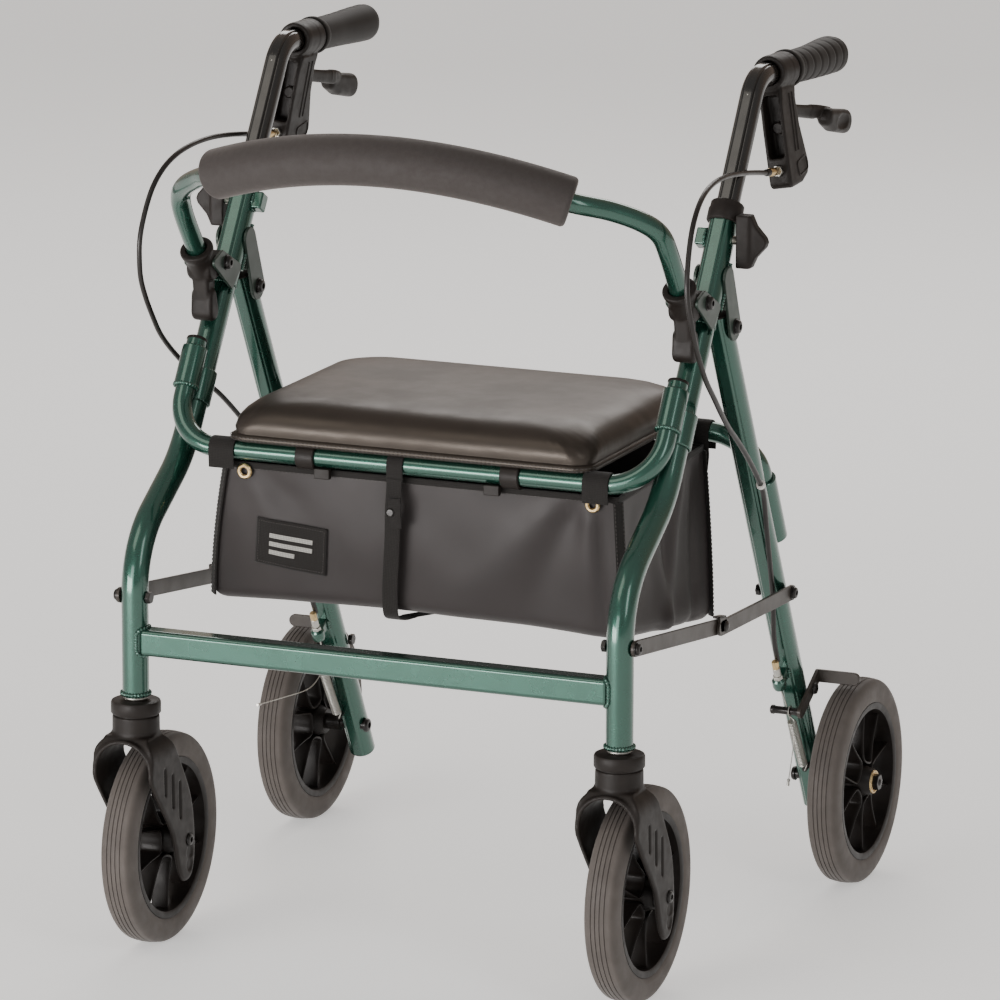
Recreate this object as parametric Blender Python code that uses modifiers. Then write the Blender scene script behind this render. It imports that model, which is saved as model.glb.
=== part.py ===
"""Folding four-wheeled rollator walker with a flip-up seat, a storage bag and cable brakes.

The frame is in metres with +Z up. The origin is on the ground under the middle of the walker.
The swivelling casters and the backrest bar face -Y, and the user stands at +Y.
Left is the user's left, at +X.
"""

from math import acos, cos, pi, radians, sin, tan

import bmesh
import bpy
from mathutils import Matrix, Vector
from mathutils.geometry import convex_hull_2d

GAP = 0.0003
SIDES = {"left": 1, "right": -1}

# Ground plan
LEG_X = 0.2443
STEM_Y = -0.274
WHEEL_RADIUS = 0.1016
TYRE_FACETS = 32
AXLE_Z = WHEEL_RADIUS * cos(pi / TYRE_FACETS)
CASTER_TRAIL = 0.0483
REAR_WHEEL_X = 0.2925
REAR_AXLE_Y = 0.2256

# Tubes
LEG_RADIUS = 0.0127
RAIL_RADIUS = 0.0095
HANDLE_RADIUS = 0.0110
BAR_RADIUS = 0.0095
PAD_RADIUS = 0.0237
TUBE_FACETS = 14
SLIM_FACETS = 12

# Front legs: upright at the caster, an S-bend, then a straight run that leans back to the collar
LEG_FOOT_Z = 0.2507
LEG_LEAN = 0.635
LEG_LEAN_Y = -0.0975
LEG_LEAN_Z = 0.5749
LEG_TOP_Z = 0.700
LEG_BORE_RADIUS = 0.0117
LEG_BORE_Z = 0.558

# Rear legs: straight, hinged at the pivot bracket
PIVOT = Vector((0, -0.030, 0.5984))
REAR_LEG_LEAN = -0.525
REAR_LEG_TOP_Z = 0.6126
REAR_LEG_FOOT_Z = 0.0707

# Seat rails and seat
RAIL_OFFSET = 0.0254
FRONT_RAIL = Vector((0, -0.1906, 0.4757))
REAR_RAIL_Z = 0.4745
RAIL_BEND = 0.048
SEAT_HALF_WIDTH = 0.185
SEAT_FRONT_Y = -0.203
SEAT_BACK_Y = 0.072
SEAT_BOARD_Z = 0.4865
SEAT_BOARD_THICKNESS = 0.006
SEAT_TOP_Z = 0.5265
SEAT_CLIP_X = 0.1035

# Storage bag
BAG_MOUTH_HALF_WIDTH = 0.197
BAG_FOOT_HALF_WIDTH = 0.2085
BAG_TOP_Z = 0.4622
BAG_WALL = 0.003

# Side braces: the front link hangs on the front leg, the rear link on the rear leg
BRACE_FRONT = Vector((0, STEM_Y, 0.3460))
BRACE_MIDDLE = Vector((0, -0.056, 0.3175))
BRACE_REAR = Vector((0, 0.1214, 0.3100))
BRACE_HALF_WIDTH = 0.0075
BRACE_THICKNESS = 0.003

# Backrest: sockets in front of the front legs hold the bar's ends
SOCKET_TOP = Vector((0, -0.1355, 0.6527))
SOCKET_AXIS = Vector((0, -0.582, 0.813)).normalized()
SOCKET_BOLT = Vector((0, -0.1016, 0.6340))
PAD_HALF_LENGTH = 0.178
PAD_MIDDLE = Vector((0, -0.262, 0.774))
PAD_SWEEP = 0.0283
PAD_DROP = 0.0296

# Handles, brake levers and brake arms
HANDLE_FOOT_Z = 0.585
HANDLE_CORNER = Vector((LEG_X, LEG_LEAN_Y + LEG_LEAN * (0.819 - LEG_LEAN_Z), 0.819))
HANDLE_END = Vector((LEG_X + 0.0031, 0.250, 0.8098))
HANDLE_BEND = 0.035
GRIP_START_Y = 0.1310
GRIP_END_Y = 0.264
HOUSING_HINGE_Z = 0.815
HOUSING_LEAN = radians(9.8)
LEVER_PIVOT = Vector((0, 0.114, 0.778))
LEVER_OUT = 0.0068
KNOB_CENTRE = Vector((0, -0.0308, 0.680))
ARM_PIVOT = Vector((0, 0.188, 0.199))
ARM_PIN = Vector((0, 0.157, 0.1825))
ARM_ELBOW = Vector((0, 0.203, 0.2085))

# Brake cables, from the lever housing's barrel round the outside of the handle tube and down to
# the stop on the rear leg, on the left side
CABLE_RADIUS = 0.0025
CABLE_ROUTE = (
    (0.2589, 0.0500, 0.7302),
    (0.2592, 0.0250, 0.7345),
    (0.2597, 0.0000, 0.7385),
    (0.2603, -0.0300, 0.7425),
    (0.2612, -0.0650, 0.7455),
    (0.2632, -0.1000, 0.7450),
    (0.2660, -0.1300, 0.7400),
    (0.2688, -0.1540, 0.7300),
    (0.2712, -0.1730, 0.7140),
    (0.2732, -0.1860, 0.6920),
    (0.2748, -0.1930, 0.6700),
    (0.2758, -0.1926, 0.6500),
    (0.2773, -0.1869, 0.6300),
    (0.2772, -0.1770, 0.6100),
    (0.2770, -0.1633, 0.5900),
    (0.2768, -0.1472, 0.5700),
    (0.2758, -0.1244, 0.5500),
    (0.2731, -0.0984, 0.5300),
    (0.2692, -0.0683, 0.5100),
    (0.2667, -0.0364, 0.4900),
    (0.2650, -0.0050, 0.4670),
    (0.2635, 0.0220, 0.4450),
    (0.2618, 0.0420, 0.4265),
    (0.2595, 0.0545, 0.4080),
    (0.2565, 0.0690, 0.3790),
    (0.2535, 0.0860, 0.3440),
    (0.2497, 0.1050, 0.3060),
    (0.2455, 0.1205, 0.2640),
    (0.2443, 0.1343, 0.2372),
)


def new_collection(name, hidden):
    collection = bpy.data.collections.new(name)
    bpy.context.scene.collection.children.link(collection)
    collection.hide_render = hidden
    return collection


for leftover in list(bpy.data.objects):
    bpy.data.objects.remove(leftover, do_unlink=True)
PARTS = new_collection("rollator_walker", False)
CUTTERS = new_collection("cutters", True)


def material(name, colour, roughness, metallic):
    made = bpy.data.materials.new(name)
    made.use_nodes = True
    shader = made.node_tree.nodes["Principled BSDF"]
    shader.inputs["Base Color"].default_value = (*colour, 1)
    shader.inputs["Roughness"].default_value = roughness
    shader.inputs["Metallic"].default_value = metallic
    return made


GREEN = material("green_enamel", (0.022, 0.115, 0.080), 0.28, 0.7)
BLACK = material("black_plastic", (0.030, 0.025, 0.023), 0.5, 0.0)
BLACK_METAL = material("black_paint", (0.045, 0.038, 0.033), 0.4, 0.3)
GLOSS_BLACK = material("black_handle_tube", (0.020, 0.017, 0.015), 0.2, 0.4)
RUBBER = material("grip_rubber", (0.022, 0.018, 0.016), 0.7, 0.0)
TYRE = material("tyre", (0.130, 0.112, 0.100), 0.7, 0.0)
VINYL = material("seat_vinyl", (0.030, 0.025, 0.023), 0.35, 0.0)
FABRIC = material("bag_fabric", (0.045, 0.040, 0.039), 0.6, 0.0)
FOAM = material("backrest_foam", (0.045, 0.040, 0.039), 0.8, 0.0)
STEEL = material("steel", (0.60, 0.59, 0.56), 0.3, 1.0)
BOARD = material("seat_board", (0.035, 0.032, 0.030), 0.8, 0.0)


# Building blocks


def mirrored(point, side):
    """The same place on the left (side 1) or right (side -1)."""
    return Vector((side * point[0], point[1], point[2]))


def across(offset, side, point):
    """A place at this distance outward of the leg plane, at the point's Y and Z."""
    return Vector((side * (LEG_X + offset), point[1], point[2]))


def add_object(name, mesh, finish, smooth_angle=None):
    obj = bpy.data.objects.new(name, mesh)
    PARTS.objects.link(obj)
    mesh.materials.clear()
    mesh.materials.append(finish)
    if smooth_angle:
        mesh.shade_smooth()
        mesh.set_sharp_from_angle(angle=radians(smooth_angle))
    return obj


def from_bmesh(name, bm, finish, smooth_angle=None):
    mesh = bpy.data.meshes.new(name)
    bm.to_mesh(mesh)
    bm.free()
    return add_object(name, mesh, finish, smooth_angle)


def from_curve(name, curve, matrix, finish, smooth_angle=None):
    """A mesh object of the curve's solid, with its caps welded on."""
    guide = bpy.data.objects.new(name + "_guide", curve)
    PARTS.objects.link(guide)
    guide.matrix_world = matrix
    bpy.context.view_layer.update()
    evaluated = guide.evaluated_get(bpy.context.evaluated_depsgraph_get())
    mesh = bpy.data.meshes.new_from_object(evaluated)
    bpy.data.objects.remove(guide)
    bm = bmesh.new()
    bm.from_mesh(mesh)
    bmesh.ops.remove_doubles(bm, verts=bm.verts, dist=1e-6)
    bm.to_mesh(mesh)
    bm.free()
    obj = add_object(name, mesh, finish, smooth_angle)
    obj.matrix_world = matrix
    return obj


def tube(name, points, radius, finish, facets=TUBE_FACETS):
    """A solid round tube along the points."""
    curve = bpy.data.curves.new(name, "CURVE")
    curve.dimensions = "3D"
    curve.bevel_depth = radius
    curve.bevel_resolution = (facets - 4) // 2
    curve.use_fill_caps = True
    spline = curve.splines.new("POLY")
    spline.points.add(len(points) - 1)
    for place, point in zip(spline.points, points):
        place.co = (*point, 1)
    return from_curve(name, curve, Matrix.Identity(4), finish, 40)


def plate(name, outline, thickness, frame, finish, holes=()):
    """A flat plate of the outline in the frame's XY plane, centred on that plane."""
    curve = bpy.data.curves.new(name, "CURVE")
    curve.dimensions = "2D"
    curve.fill_mode = "BOTH"
    curve.extrude = thickness / 2
    for loop in (outline, *holes):
        spline = curve.splines.new("POLY")
        spline.points.add(len(loop) - 1)
        spline.use_cyclic_u = True
        for place, point in zip(spline.points, loop):
            place.co = (point[0], point[1], 0, 1)
    return from_curve(name, curve, frame, finish)


def side_frame(x):
    """The frame whose XY plane is the world's YZ plane at this X."""
    return Matrix(((0, 0, 1, x), (1, 0, 0, 0), (0, 1, 0, 0), (0, 0, 0, 1)))


def side_plate(name, outline, from_x, to_x, finish):
    return plate(name, outline, abs(to_x - from_x), side_frame((from_x + to_x) / 2), finish)


def rod(name, start, end, radius, finish, facets=TUBE_FACETS):
    """A straight solid cylinder from start to end."""
    run = end - start
    turn = run.to_track_quat("Z", "Y").to_matrix().to_4x4()
    bm = bmesh.new()
    bmesh.ops.create_cone(
        bm, cap_ends=True, segments=facets, radius1=radius, radius2=radius, depth=run.length
    )
    bm.transform(Matrix.Translation((start + end) / 2) @ turn)
    return from_bmesh(name, bm, finish, 40)


def box(name, low, high, finish, bevel=0.0, segments=1):
    """A block between two opposite corners, with its edges rounded by a bevel."""
    low = Vector(low)
    high = Vector(high)
    size = Vector([abs(reach) for reach in high - low])
    bm = bmesh.new()
    bmesh.ops.create_cube(bm, size=1)
    bm.transform(Matrix.Translation((low + high) / 2) @ Matrix.Diagonal((*size, 1)))
    obj = from_bmesh(name, bm, finish)
    if bevel:
        rounding = obj.modifiers.new("rounding", "BEVEL")
        rounding.width = bevel
        rounding.segments = segments
    return obj


def turned(name, profile, place, finish, steps=TUBE_FACETS, closed=False):
    """A turned piece from (radius, height) pairs that run down its outer side, top to bottom."""
    bm = bmesh.new()
    corners = [bm.verts.new((radius, 0, height)) for radius, height in profile]
    for first, second in zip(corners, corners[1:]):
        bm.edges.new((first, second))
    if closed:
        bm.edges.new((corners[-1], corners[0]))
    obj = from_bmesh(name, bm, finish)
    obj.matrix_world = place
    turn = obj.modifiers.new("turn", "SCREW")
    turn.steps = steps
    turn.render_steps = steps
    turn.use_merge_vertices = True
    turn.merge_threshold = 1e-5
    turn.use_smooth_shade = False
    return obj


def along(start, direction):
    """The placing matrix whose Z axis runs along the direction."""
    turn = Vector(direction).to_track_quat("Z", "Y").to_matrix().to_4x4()
    return Matrix.Translation(Vector(start)) @ turn


def sideways(centre, side, spin=0.0):
    """The placing matrix whose Z axis points outward from the walker, turned about that axis."""
    return along(centre, (side, 0, 0)) @ Matrix.Rotation(spin, 4, "Z")


def combine(obj, other, operation):
    """Joins or cuts obj with another object, which becomes a helper."""
    PARTS.objects.unlink(other)
    CUTTERS.objects.link(other)
    other.hide_render = True
    other.display_type = "WIRE"
    step = obj.modifiers.new(operation.lower(), "BOOLEAN")
    step.operation = operation
    step.solver = "EXACT"
    step.object = other
    return obj


def join(obj, *others):
    for other in others:
        combine(obj, other, "UNION")
    return obj


def cut(obj, *others):
    for other in others:
        combine(obj, other, "DIFFERENCE")
    return obj


def circle(centre, radius, count=12):
    return [
        (centre[0] + radius * cos(2 * pi * k / count), centre[1] + radius * sin(2 * pi * k / count))
        for k in range(count)
    ]


def hull(*discs, count=16):
    """The outline drawn tight around discs, each given as its centre's Y and Z and its radius."""
    points = [point for y, z, radius in discs for point in circle((y, z), radius, count)]
    return [points[k] for k in convex_hull_2d(points)]


def bent_route(corners, radii, step=radians(15)):
    """Straight runs between the corners, with an arc of the given radius at each inner corner."""
    route = [corners[0]]
    for before, corner, after, radius in zip(corners, corners[1:], corners[2:], radii):
        coming = (corner - before).normalized()
        going = (after - corner).normalized()
        turn = acos(max(-1, min(1, coming.dot(going))))
        reach = radius * tan(turn / 2)
        start = corner - coming * reach
        centre = corner + (going - coming).normalized() * (radius / cos(turn / 2))
        axis = coming.cross(going).normalized()
        count = max(2, round(turn / step))
        for k in range(count + 1):
            spin = Matrix.Rotation(turn * k / count, 3, axis)
            route.append(centre + spin @ (start - centre))
    route.append(corners[-1])
    return route


def smooth_route(points, pieces):
    """A smooth curve through the points, with this many pieces between each two."""
    points = [Vector(point) for point in points]
    ends = [points[0] * 2 - points[1], *points, points[-1] * 2 - points[-2]]
    route = []
    for a, b, c, d in zip(ends, ends[1:], ends[2:], ends[3:]):
        for k in range(pieces):
            t = k / pieces
            route.append(
                0.5 * (2 * b + (c - a) * t + (2 * a - 5 * b + 4 * c - d) * t**2
                       + (3 * b - a - 3 * c + d) * t**3)
            )
    route.append(points[-1])
    return route


# Where the tubes run


def leg_y(z):
    """Y of the front leg's straight upper run at this height."""
    return LEG_LEAN_Y + LEG_LEAN * (z - LEG_LEAN_Z)


def rear_leg_y(z):
    return PIVOT.y + REAR_LEG_LEAN * (z - PIVOT.z)


LEG_UP = Vector((0, LEG_LEAN, 1)).normalized()
LEG_FORWARD = Vector((0, -LEG_UP.z, LEG_UP.y))
REAR_DOWN = Vector((0, -REAR_LEG_LEAN, -1)).normalized()
REAR_BACK = Vector((0, -REAR_DOWN.z, REAR_DOWN.y))


def leg_point(z):
    return Vector((0, leg_y(z), z))


def rear_leg_point(z):
    return Vector((0, rear_leg_y(z), z))


def front_leg_corners():
    """Foot, the two corners of the S-bend and the top, in the middle plane."""
    upper_corner_z = 0.460
    return [
        Vector((0, STEM_Y, LEG_FOOT_Z)),
        Vector((0, STEM_Y, 0.3947)),
        leg_point(upper_corner_z),
        leg_point(LEG_TOP_Z),
    ]


# Frame


def make_front_leg(name, side):
    corners = [across(0, side, corner) for corner in front_leg_corners()]
    leg = tube(f"front_leg_{name}", bent_route(corners, (0.085, 0.120)), LEG_RADIUS, GREEN)
    boss = rod(
        f"knob_boss_{name}",
        across(-0.0105, side, KNOB_CENTRE),
        across(-0.0225, side, KNOB_CENTRE),
        0.0065,
        GREEN,
        SLIM_FACETS,
    )
    bore = rod(
        f"handle_bore_{name}",
        across(0, side, leg_point(LEG_BORE_Z)),
        across(0, side, leg_point(LEG_TOP_Z + 0.02)),
        LEG_BORE_RADIUS,
        GREEN,
    )
    bolt_hole = rod(
        f"brace_hole_{name}",
        across(-0.02, side, BRACE_FRONT),
        across(0.02, side, BRACE_FRONT),
        0.0036,
        GREEN,
        SLIM_FACETS,
    )
    join(leg, boss)
    return cut(leg, bore, bolt_hole)


def make_pivot_bracket(name, side):
    """Two cheeks and a web welded behind the front leg, which carry the rear leg's pivot bolt."""
    seat = leg_point(0.649) - LEG_FORWARD * 0.004
    outline = hull((seat.y, seat.z, 0.0115), (PIVOT.y, PIVOT.z, 0.0135))
    cheeks = [
        side_plate(f"pivot_cheek_{k}_{name}", outline, side * (LEG_X + a), side * (LEG_X + b), GREEN)
        for k, a, b in ((0, 0.0131, 0.0161), (1, -0.0161, -0.0131))
    ]
    web_low = leg_point(0.628) - LEG_FORWARD * 0.0155
    web_high = leg_point(0.652) - LEG_FORWARD * 0.0155
    web_outline = hull((web_low.y, web_low.z, 0.0024), (web_high.y, web_high.z, 0.0024), count=8)
    web = side_plate(
        f"pivot_bracket_{name}", web_outline, side * (LEG_X - 0.014), side * (LEG_X + 0.014), GREEN
    )
    hole = rod(
        f"pivot_hole_{name}",
        across(-0.02, side, PIVOT),
        across(0.02, side, PIVOT),
        0.0046,
        GREEN,
        SLIM_FACETS,
    )
    return cut(join(web, *cheeks), hole)


def make_front_bracket(name, side):
    """Two cheeks beside the backrest socket, held together by the socket's bolt."""
    outline = hull(
        (-0.1240, 0.6375, 0.0045),
        (-0.1095, 0.6425, 0.0045),
        (-0.0735, 0.6245, 0.0040),
        (-0.0890, 0.6100, 0.0035),
        count=8,
    )
    bolt = rod(
        f"front_bracket_{name}",
        across(-0.0215, side, SOCKET_BOLT),
        across(0.0215, side, SOCKET_BOLT),
        0.0040,
        GREEN,
        SLIM_FACETS,
    )
    for k, a, b in ((0, 0.0132, 0.0160), (1, -0.0160, -0.0132)):
        cheek = side_plate(
            f"front_cheek_{k}_{name}", outline, side * (LEG_X + a), side * (LEG_X + b), GREEN
        )
        head = rod(
            f"front_head_{k}_{name}",
            across(a + 0.0010 if a > 0 else b - 0.0010, side, SOCKET_BOLT),
            across(0.0213 if a > 0 else -0.0213, side, SOCKET_BOLT),
            0.0060,
            BLACK_METAL,
            SLIM_FACETS,
        )
        join(bolt, cheek, head)
    return bolt


def bolt_profile(shaft, head, lower, upper, head_height):
    """A through-bolt with a head above 'upper' and a nut below 'lower', along its own axis."""
    return [
        (0, upper + head_height),
        (head * 0.75, upper + head_height),
        (head, upper + head_height * 0.6),
        (head, upper),
        (shaft, upper),
        (shaft, lower),
        (head, lower),
        (head, lower - head_height),
        (0, lower - head_height),
    ]


def make_pivot_bolt(name, side):
    profile = bolt_profile(0.0042, 0.0068, -0.0164, 0.0164, 0.0048)
    place = sideways(across(0, side, PIVOT), side)
    return turned(f"leg_pivot_bolt_{name}", profile, place, BLACK_METAL, SLIM_FACETS)


def make_cross_tube():
    height = 0.0250
    depth = 0.0220
    centre_z = 0.304
    reach = LEG_X - 0.003
    bar = box(
        "cross_tube",
        (-reach, STEM_Y - depth / 2, centre_z - height / 2),
        (reach, STEM_Y + depth / 2, centre_z + height / 2),
        GREEN,
        0.004,
        2,
    )
    for name, side in SIDES.items():
        saddle = rod(
            f"cross_saddle_{name}",
            Vector((side * LEG_X, STEM_Y, centre_z - 0.03)),
            Vector((side * LEG_X, STEM_Y, centre_z + 0.03)),
            LEG_RADIUS + 0.0006,
            GREEN,
            24,
        )
        cut(bar, saddle)
    return bar


def front_rail_top():
    return leg_point(0.5498) + LEG_FORWARD * RAIL_OFFSET


def rear_rail_point(z):
    """A point of the rear rail's arm, which runs down behind the rear leg."""
    drop = REAR_BACK * RAIL_OFFSET
    return Vector((0, rear_leg_y(z - drop.z) + drop.y, z))


def make_rail(name, end, corner):
    corners = [across(0, 1, end), across(0, 1, corner), across(0, -1, corner), across(0, -1, end)]
    return tube(name, bent_route(corners, (RAIL_BEND, RAIL_BEND)), RAIL_RADIUS, GREEN)


def make_rail_sleeve(name, side):
    """Two sleeves with a web between: one clamps the front leg, the other the seat rail's end."""
    foot = leg_point(0.505)
    rail_foot = foot + LEG_FORWARD * RAIL_OFFSET
    leg_sleeve = rod(
        f"rail_sleeve_{name}",
        across(0, side, foot),
        across(0, side, foot + LEG_UP * 0.032),
        0.0152,
        GREEN,
    )
    rail_sleeve = rod(
        f"rail_socket_{name}",
        across(0, side, rail_foot + LEG_UP * 0.006),
        across(0, side, rail_foot + LEG_UP * 0.0455),
        0.0120,
        GREEN,
    )
    web_low = foot + LEG_FORWARD * 0.013 + LEG_UP * 0.010
    web_high = foot + LEG_FORWARD * 0.013 + LEG_UP * 0.028
    web = side_plate(
        f"rail_web_{name}",
        hull((web_low.y, web_low.z, 0.004), (web_high.y, web_high.z, 0.004), count=8),
        side * (LEG_X - 0.005),
        side * (LEG_X + 0.005),
        GREEN,
    )
    bores = [
        rod(
            f"sleeve_bore_{k}_{name}",
            across(0, side, start - LEG_UP * 0.01),
            across(0, side, start + LEG_UP * 0.07),
            radius,
            GREEN,
        )
        for k, start, radius in ((0, foot, 0.0132), (1, rail_foot, 0.0100))
    ]
    return cut(join(leg_sleeve, rail_sleeve, web), *bores)


def make_rear_leg(name, side):
    """The rear leg with its welded rail socket and brake cable stop."""
    leg = tube(
        f"rear_leg_{name}",
        [across(0, side, rear_leg_point(REAR_LEG_TOP_Z)), across(0, side, rear_leg_point(REAR_LEG_FOOT_Z))],
        LEG_RADIUS,
        GREEN,
    )
    socket = rod(
        f"rear_socket_{name}",
        across(0, side, rear_rail_point(0.428)),
        across(0, side, rear_rail_point(0.364)),
        0.0125,
        GREEN,
    )
    web_high = rear_rail_point(0.420) - REAR_BACK * 0.0127
    web_low = rear_rail_point(0.374) - REAR_BACK * 0.0127
    web = side_plate(
        f"rear_socket_web_{name}",
        hull((web_high.y, web_high.z, 0.004), (web_low.y, web_low.z, 0.004), count=8),
        side * (LEG_X - 0.005),
        side * (LEG_X + 0.005),
        GREEN,
    )
    cup_top = Vector((0, 0.1365, 0.2195))
    cup = rod(
        f"cable_cup_{name}",
        across(0, side, cup_top),
        across(0, side, cup_top + REAR_DOWN * 0.012),
        0.0068,
        GREEN,
        SLIM_FACETS,
    )
    barrel = rod(
        f"cable_barrel_{name}",
        across(0, side, Vector((0, 0.1348, 0.2358))),
        across(0, side, cup_top + REAR_DOWN * 0.002),
        0.0036,
        STEEL,
        8,
    )
    tab_from = cup_top + REAR_DOWN * 0.006
    tab_to = tab_from + REAR_BACK * 0.020
    tab = side_plate(
        f"cable_tab_{name}",
        hull((tab_from.y, tab_from.z, 0.004), (tab_to.y, tab_to.z, 0.007), count=8),
        side * (LEG_X - 0.004),
        side * (LEG_X + 0.004),
        GREEN,
    )
    join(leg, socket, web, cup, barrel, tab)
    rail_bore = rod(
        f"rear_socket_bore_{name}",
        across(0, side, rear_rail_point(0.450)),
        across(0, side, rear_rail_point(0.350)),
        0.0101,
        GREEN,
    )
    holes = [
        rod(
            f"rear_hole_{k}_{name}",
            across(-0.02, side, centre),
            across(0.02, side, centre),
            radius,
            GREEN,
            SLIM_FACETS,
        )
        for k, centre, radius in (
            (0, PIVOT, 0.0047),
            (1, BRACE_REAR, 0.0036),
            (2, ARM_PIVOT, 0.0036),
            (3, Vector((0, REAR_AXLE_Y, AXLE_Z)), 0.0056),
        )
    ]
    return cut(leg, rail_bore, *holes)


def make_collar(name, side):
    """The clamp collar on the front leg's mouth, which the handle tube slides through."""
    foot = leg_point(LEG_TOP_Z) - LEG_UP * 0.008
    profile = [
        (HANDLE_RADIUS + 0.0007, 0.0200),
        (0.0148, 0.0200),
        (0.0163, 0.0180),
        (0.0163, 0.0012),
        (0.0155, 0.0000),
        (LEG_RADIUS + 0.0005, 0.0000),
        (LEG_RADIUS + 0.0005, 0.0083),
        (HANDLE_RADIUS + 0.0007, 0.0083),
    ]
    return turned(
        f"clamp_collar_{name}", profile, along(across(0, side, foot), LEG_UP), BLACK, closed=True
    )


def make_knob(name, side):
    """A wing knob on a short screw, outside the front leg."""
    outline = [
        (0.0050, -0.0250),
        (0.0190, -0.0250),
        (0.0290, -0.0050),
        (0.0330, -0.0040),
        (0.0330, 0.0040),
        (0.0290, 0.0050),
        (0.0190, 0.0250),
        (0.0050, 0.0250),
    ]
    base = LEG_X + LEG_RADIUS
    frame = Matrix(
        ((side, 0, 0, side * base), (0, 0, -side, KNOB_CENTRE.y), (0, 1, 0, KNOB_CENTRE.z), (0, 0, 0, 1))
    )
    wing = plate(f"height_knob_{name}", outline, 0.0150, frame, BLACK)
    screw = rod(
        f"knob_screw_{name}",
        Vector((side * (base + 0.0006), KNOB_CENTRE.y, KNOB_CENTRE.z)),
        Vector((side * (base + 0.0080), KNOB_CENTRE.y, KNOB_CENTRE.z)),
        0.0040,
        STEEL,
        SLIM_FACETS,
    )
    return join(wing, screw)


def make_caster_stem(name, side):
    profile = [
        (0, LEG_FOOT_Z - GAP),
        (0.0115, LEG_FOOT_Z - GAP),
        (0.0115, 0.2473),
        (0.0062, 0.2473),
        (0.0062, 0.2240),
        (0, 0.2240),
    ]
    place = Matrix.Translation((side * LEG_X, STEM_Y, 0))
    return turned(f"caster_stem_{name}", profile, place, STEEL)


# Casters and wheels


def make_fork(name, side):
    """A moulded fork: round neck with a dust cap, an arch over the wheel and two swept cheeks."""
    half = 0.0315
    inner = 0.0268
    crown_z = 0.1830
    relative = [
        (-0.0270, 0.2170),
        (-0.0305, 0.2080),
        (-0.0305, 0.1760),
        (-0.0081, 0.1451),
        (0.0146, 0.1154),
        (0.0264, 0.0798),
        (0.0350, 0.0650),
        (0.0430, 0.0610),
        (0.0540, 0.0650),
        (0.0610, 0.0800),
        (0.0620, 0.1080),
        (0.0560, 0.1406),
        (0.0410, 0.1698),
        (0.0200, 0.2030),
        (0.0100, 0.2170),
    ]
    outline = [(STEM_Y + y, z) for y, z in relative]
    fork = side_plate(
        f"caster_fork_{name}", outline, side * LEG_X - half, side * LEG_X + half, BLACK
    )
    neck_profile = [
        (0, 0.2470),
        (0.0215, 0.2470),
        (0.0235, 0.2450),
        (0.0235, 0.2340),
        (0.0225, 0.2325),
        (0.0225, 0.2120),
        (0, 0.2120),
    ]
    neck = turned(
        f"fork_neck_{name}", neck_profile, Matrix.Translation((side * LEG_X, STEM_Y, 0)), BLACK, 20
    )
    arch = [(inner * cos(pi * k / 10), crown_z + inner * sin(pi * k / 10)) for k in range(11)]
    arch += [(-inner, 0.03), (inner, 0.03)]
    arch_frame = Matrix(
        ((-1, 0, 0, side * LEG_X), (0, 0, 1, STEM_Y + 0.02), (0, 1, 0, 0), (0, 0, 0, 1))
    )
    mouth = plate(f"fork_mouth_{name}", arch, 0.16, arch_frame, BLACK)
    stem_bore = rod(
        f"fork_bore_{name}",
        Vector((side * LEG_X, STEM_Y, 0.2222)),
        Vector((side * LEG_X, STEM_Y, 0.26)),
        0.0070,
        BLACK,
    )
    axle = Vector((side * LEG_X, STEM_Y + CASTER_TRAIL, AXLE_Z))
    axle_bore = rod(
        f"fork_axle_bore_{name}",
        axle - Vector((0.05, 0, 0)),
        axle + Vector((0.05, 0, 0)),
        0.0046,
        BLACK,
        SLIM_FACETS,
    )
    return cut(join(fork, neck), mouth, stem_bore, axle_bore)


def make_caster_axle(name, side):
    profile = bolt_profile(0.0040, 0.0062, -0.0318, 0.0318, 0.0030)
    place = sideways((side * LEG_X, STEM_Y + CASTER_TRAIL, AXLE_Z), side)
    return turned(f"caster_axle_{name}", profile, place, BLACK_METAL, SLIM_FACETS)


def make_tyre(name, centre, side):
    """A solid grey tyre with rounded shoulders. A facet, not a corner, rests on the ground."""
    half = 0.0158
    profile = [
        (0.0783, half - 0.0030),
        (0.0850, half),
        (0.0940, half),
        (WHEEL_RADIUS, half - 0.0070),
        (WHEEL_RADIUS, 0.0070 - half),
        (0.0940, -half),
        (0.0850, -half),
        (0.0783, 0.0030 - half),
    ]
    place = sideways(centre, side, pi / TYRE_FACETS)
    return turned(name, profile, place, TYRE, TYRE_FACETS, closed=True)


def make_hub(name, centre, side, half_length, bore):
    """A moulded wheel hub: barrel, ten spokes and the rim that the tyre grips."""
    place = sideways(centre, side)
    barrel = turned(
        name,
        [(bore, half_length), (0.0140, half_length), (0.0140, -half_length), (bore, -half_length)],
        place,
        BLACK,
        20,
        closed=True,
    )
    rim = turned(
        name + "_rim",
        [(0.0715, 0.0120), (0.0776, 0.0120), (0.0776, -0.0120), (0.0715, -0.0120)],
        place,
        BLACK,
        TYRE_FACETS,
        closed=True,
    )
    spokes = bmesh.new()
    count = 10
    for k in range(count):
        blade = bmesh.ops.create_cube(spokes, size=1)["verts"]
        place_blade = Matrix.Rotation(2 * pi * k / count, 4, "Z") @ Matrix.Translation((0.0425, 0, 0))
        size = Matrix.Diagonal((0.062, 0.004, 0.018, 1))
        bmesh.ops.transform(spokes, matrix=place_blade @ size, verts=blade)
    blades = from_bmesh(name + "_spokes", spokes, BLACK)
    blades.matrix_world = place
    return join(barrel, rim, blades)


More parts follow.
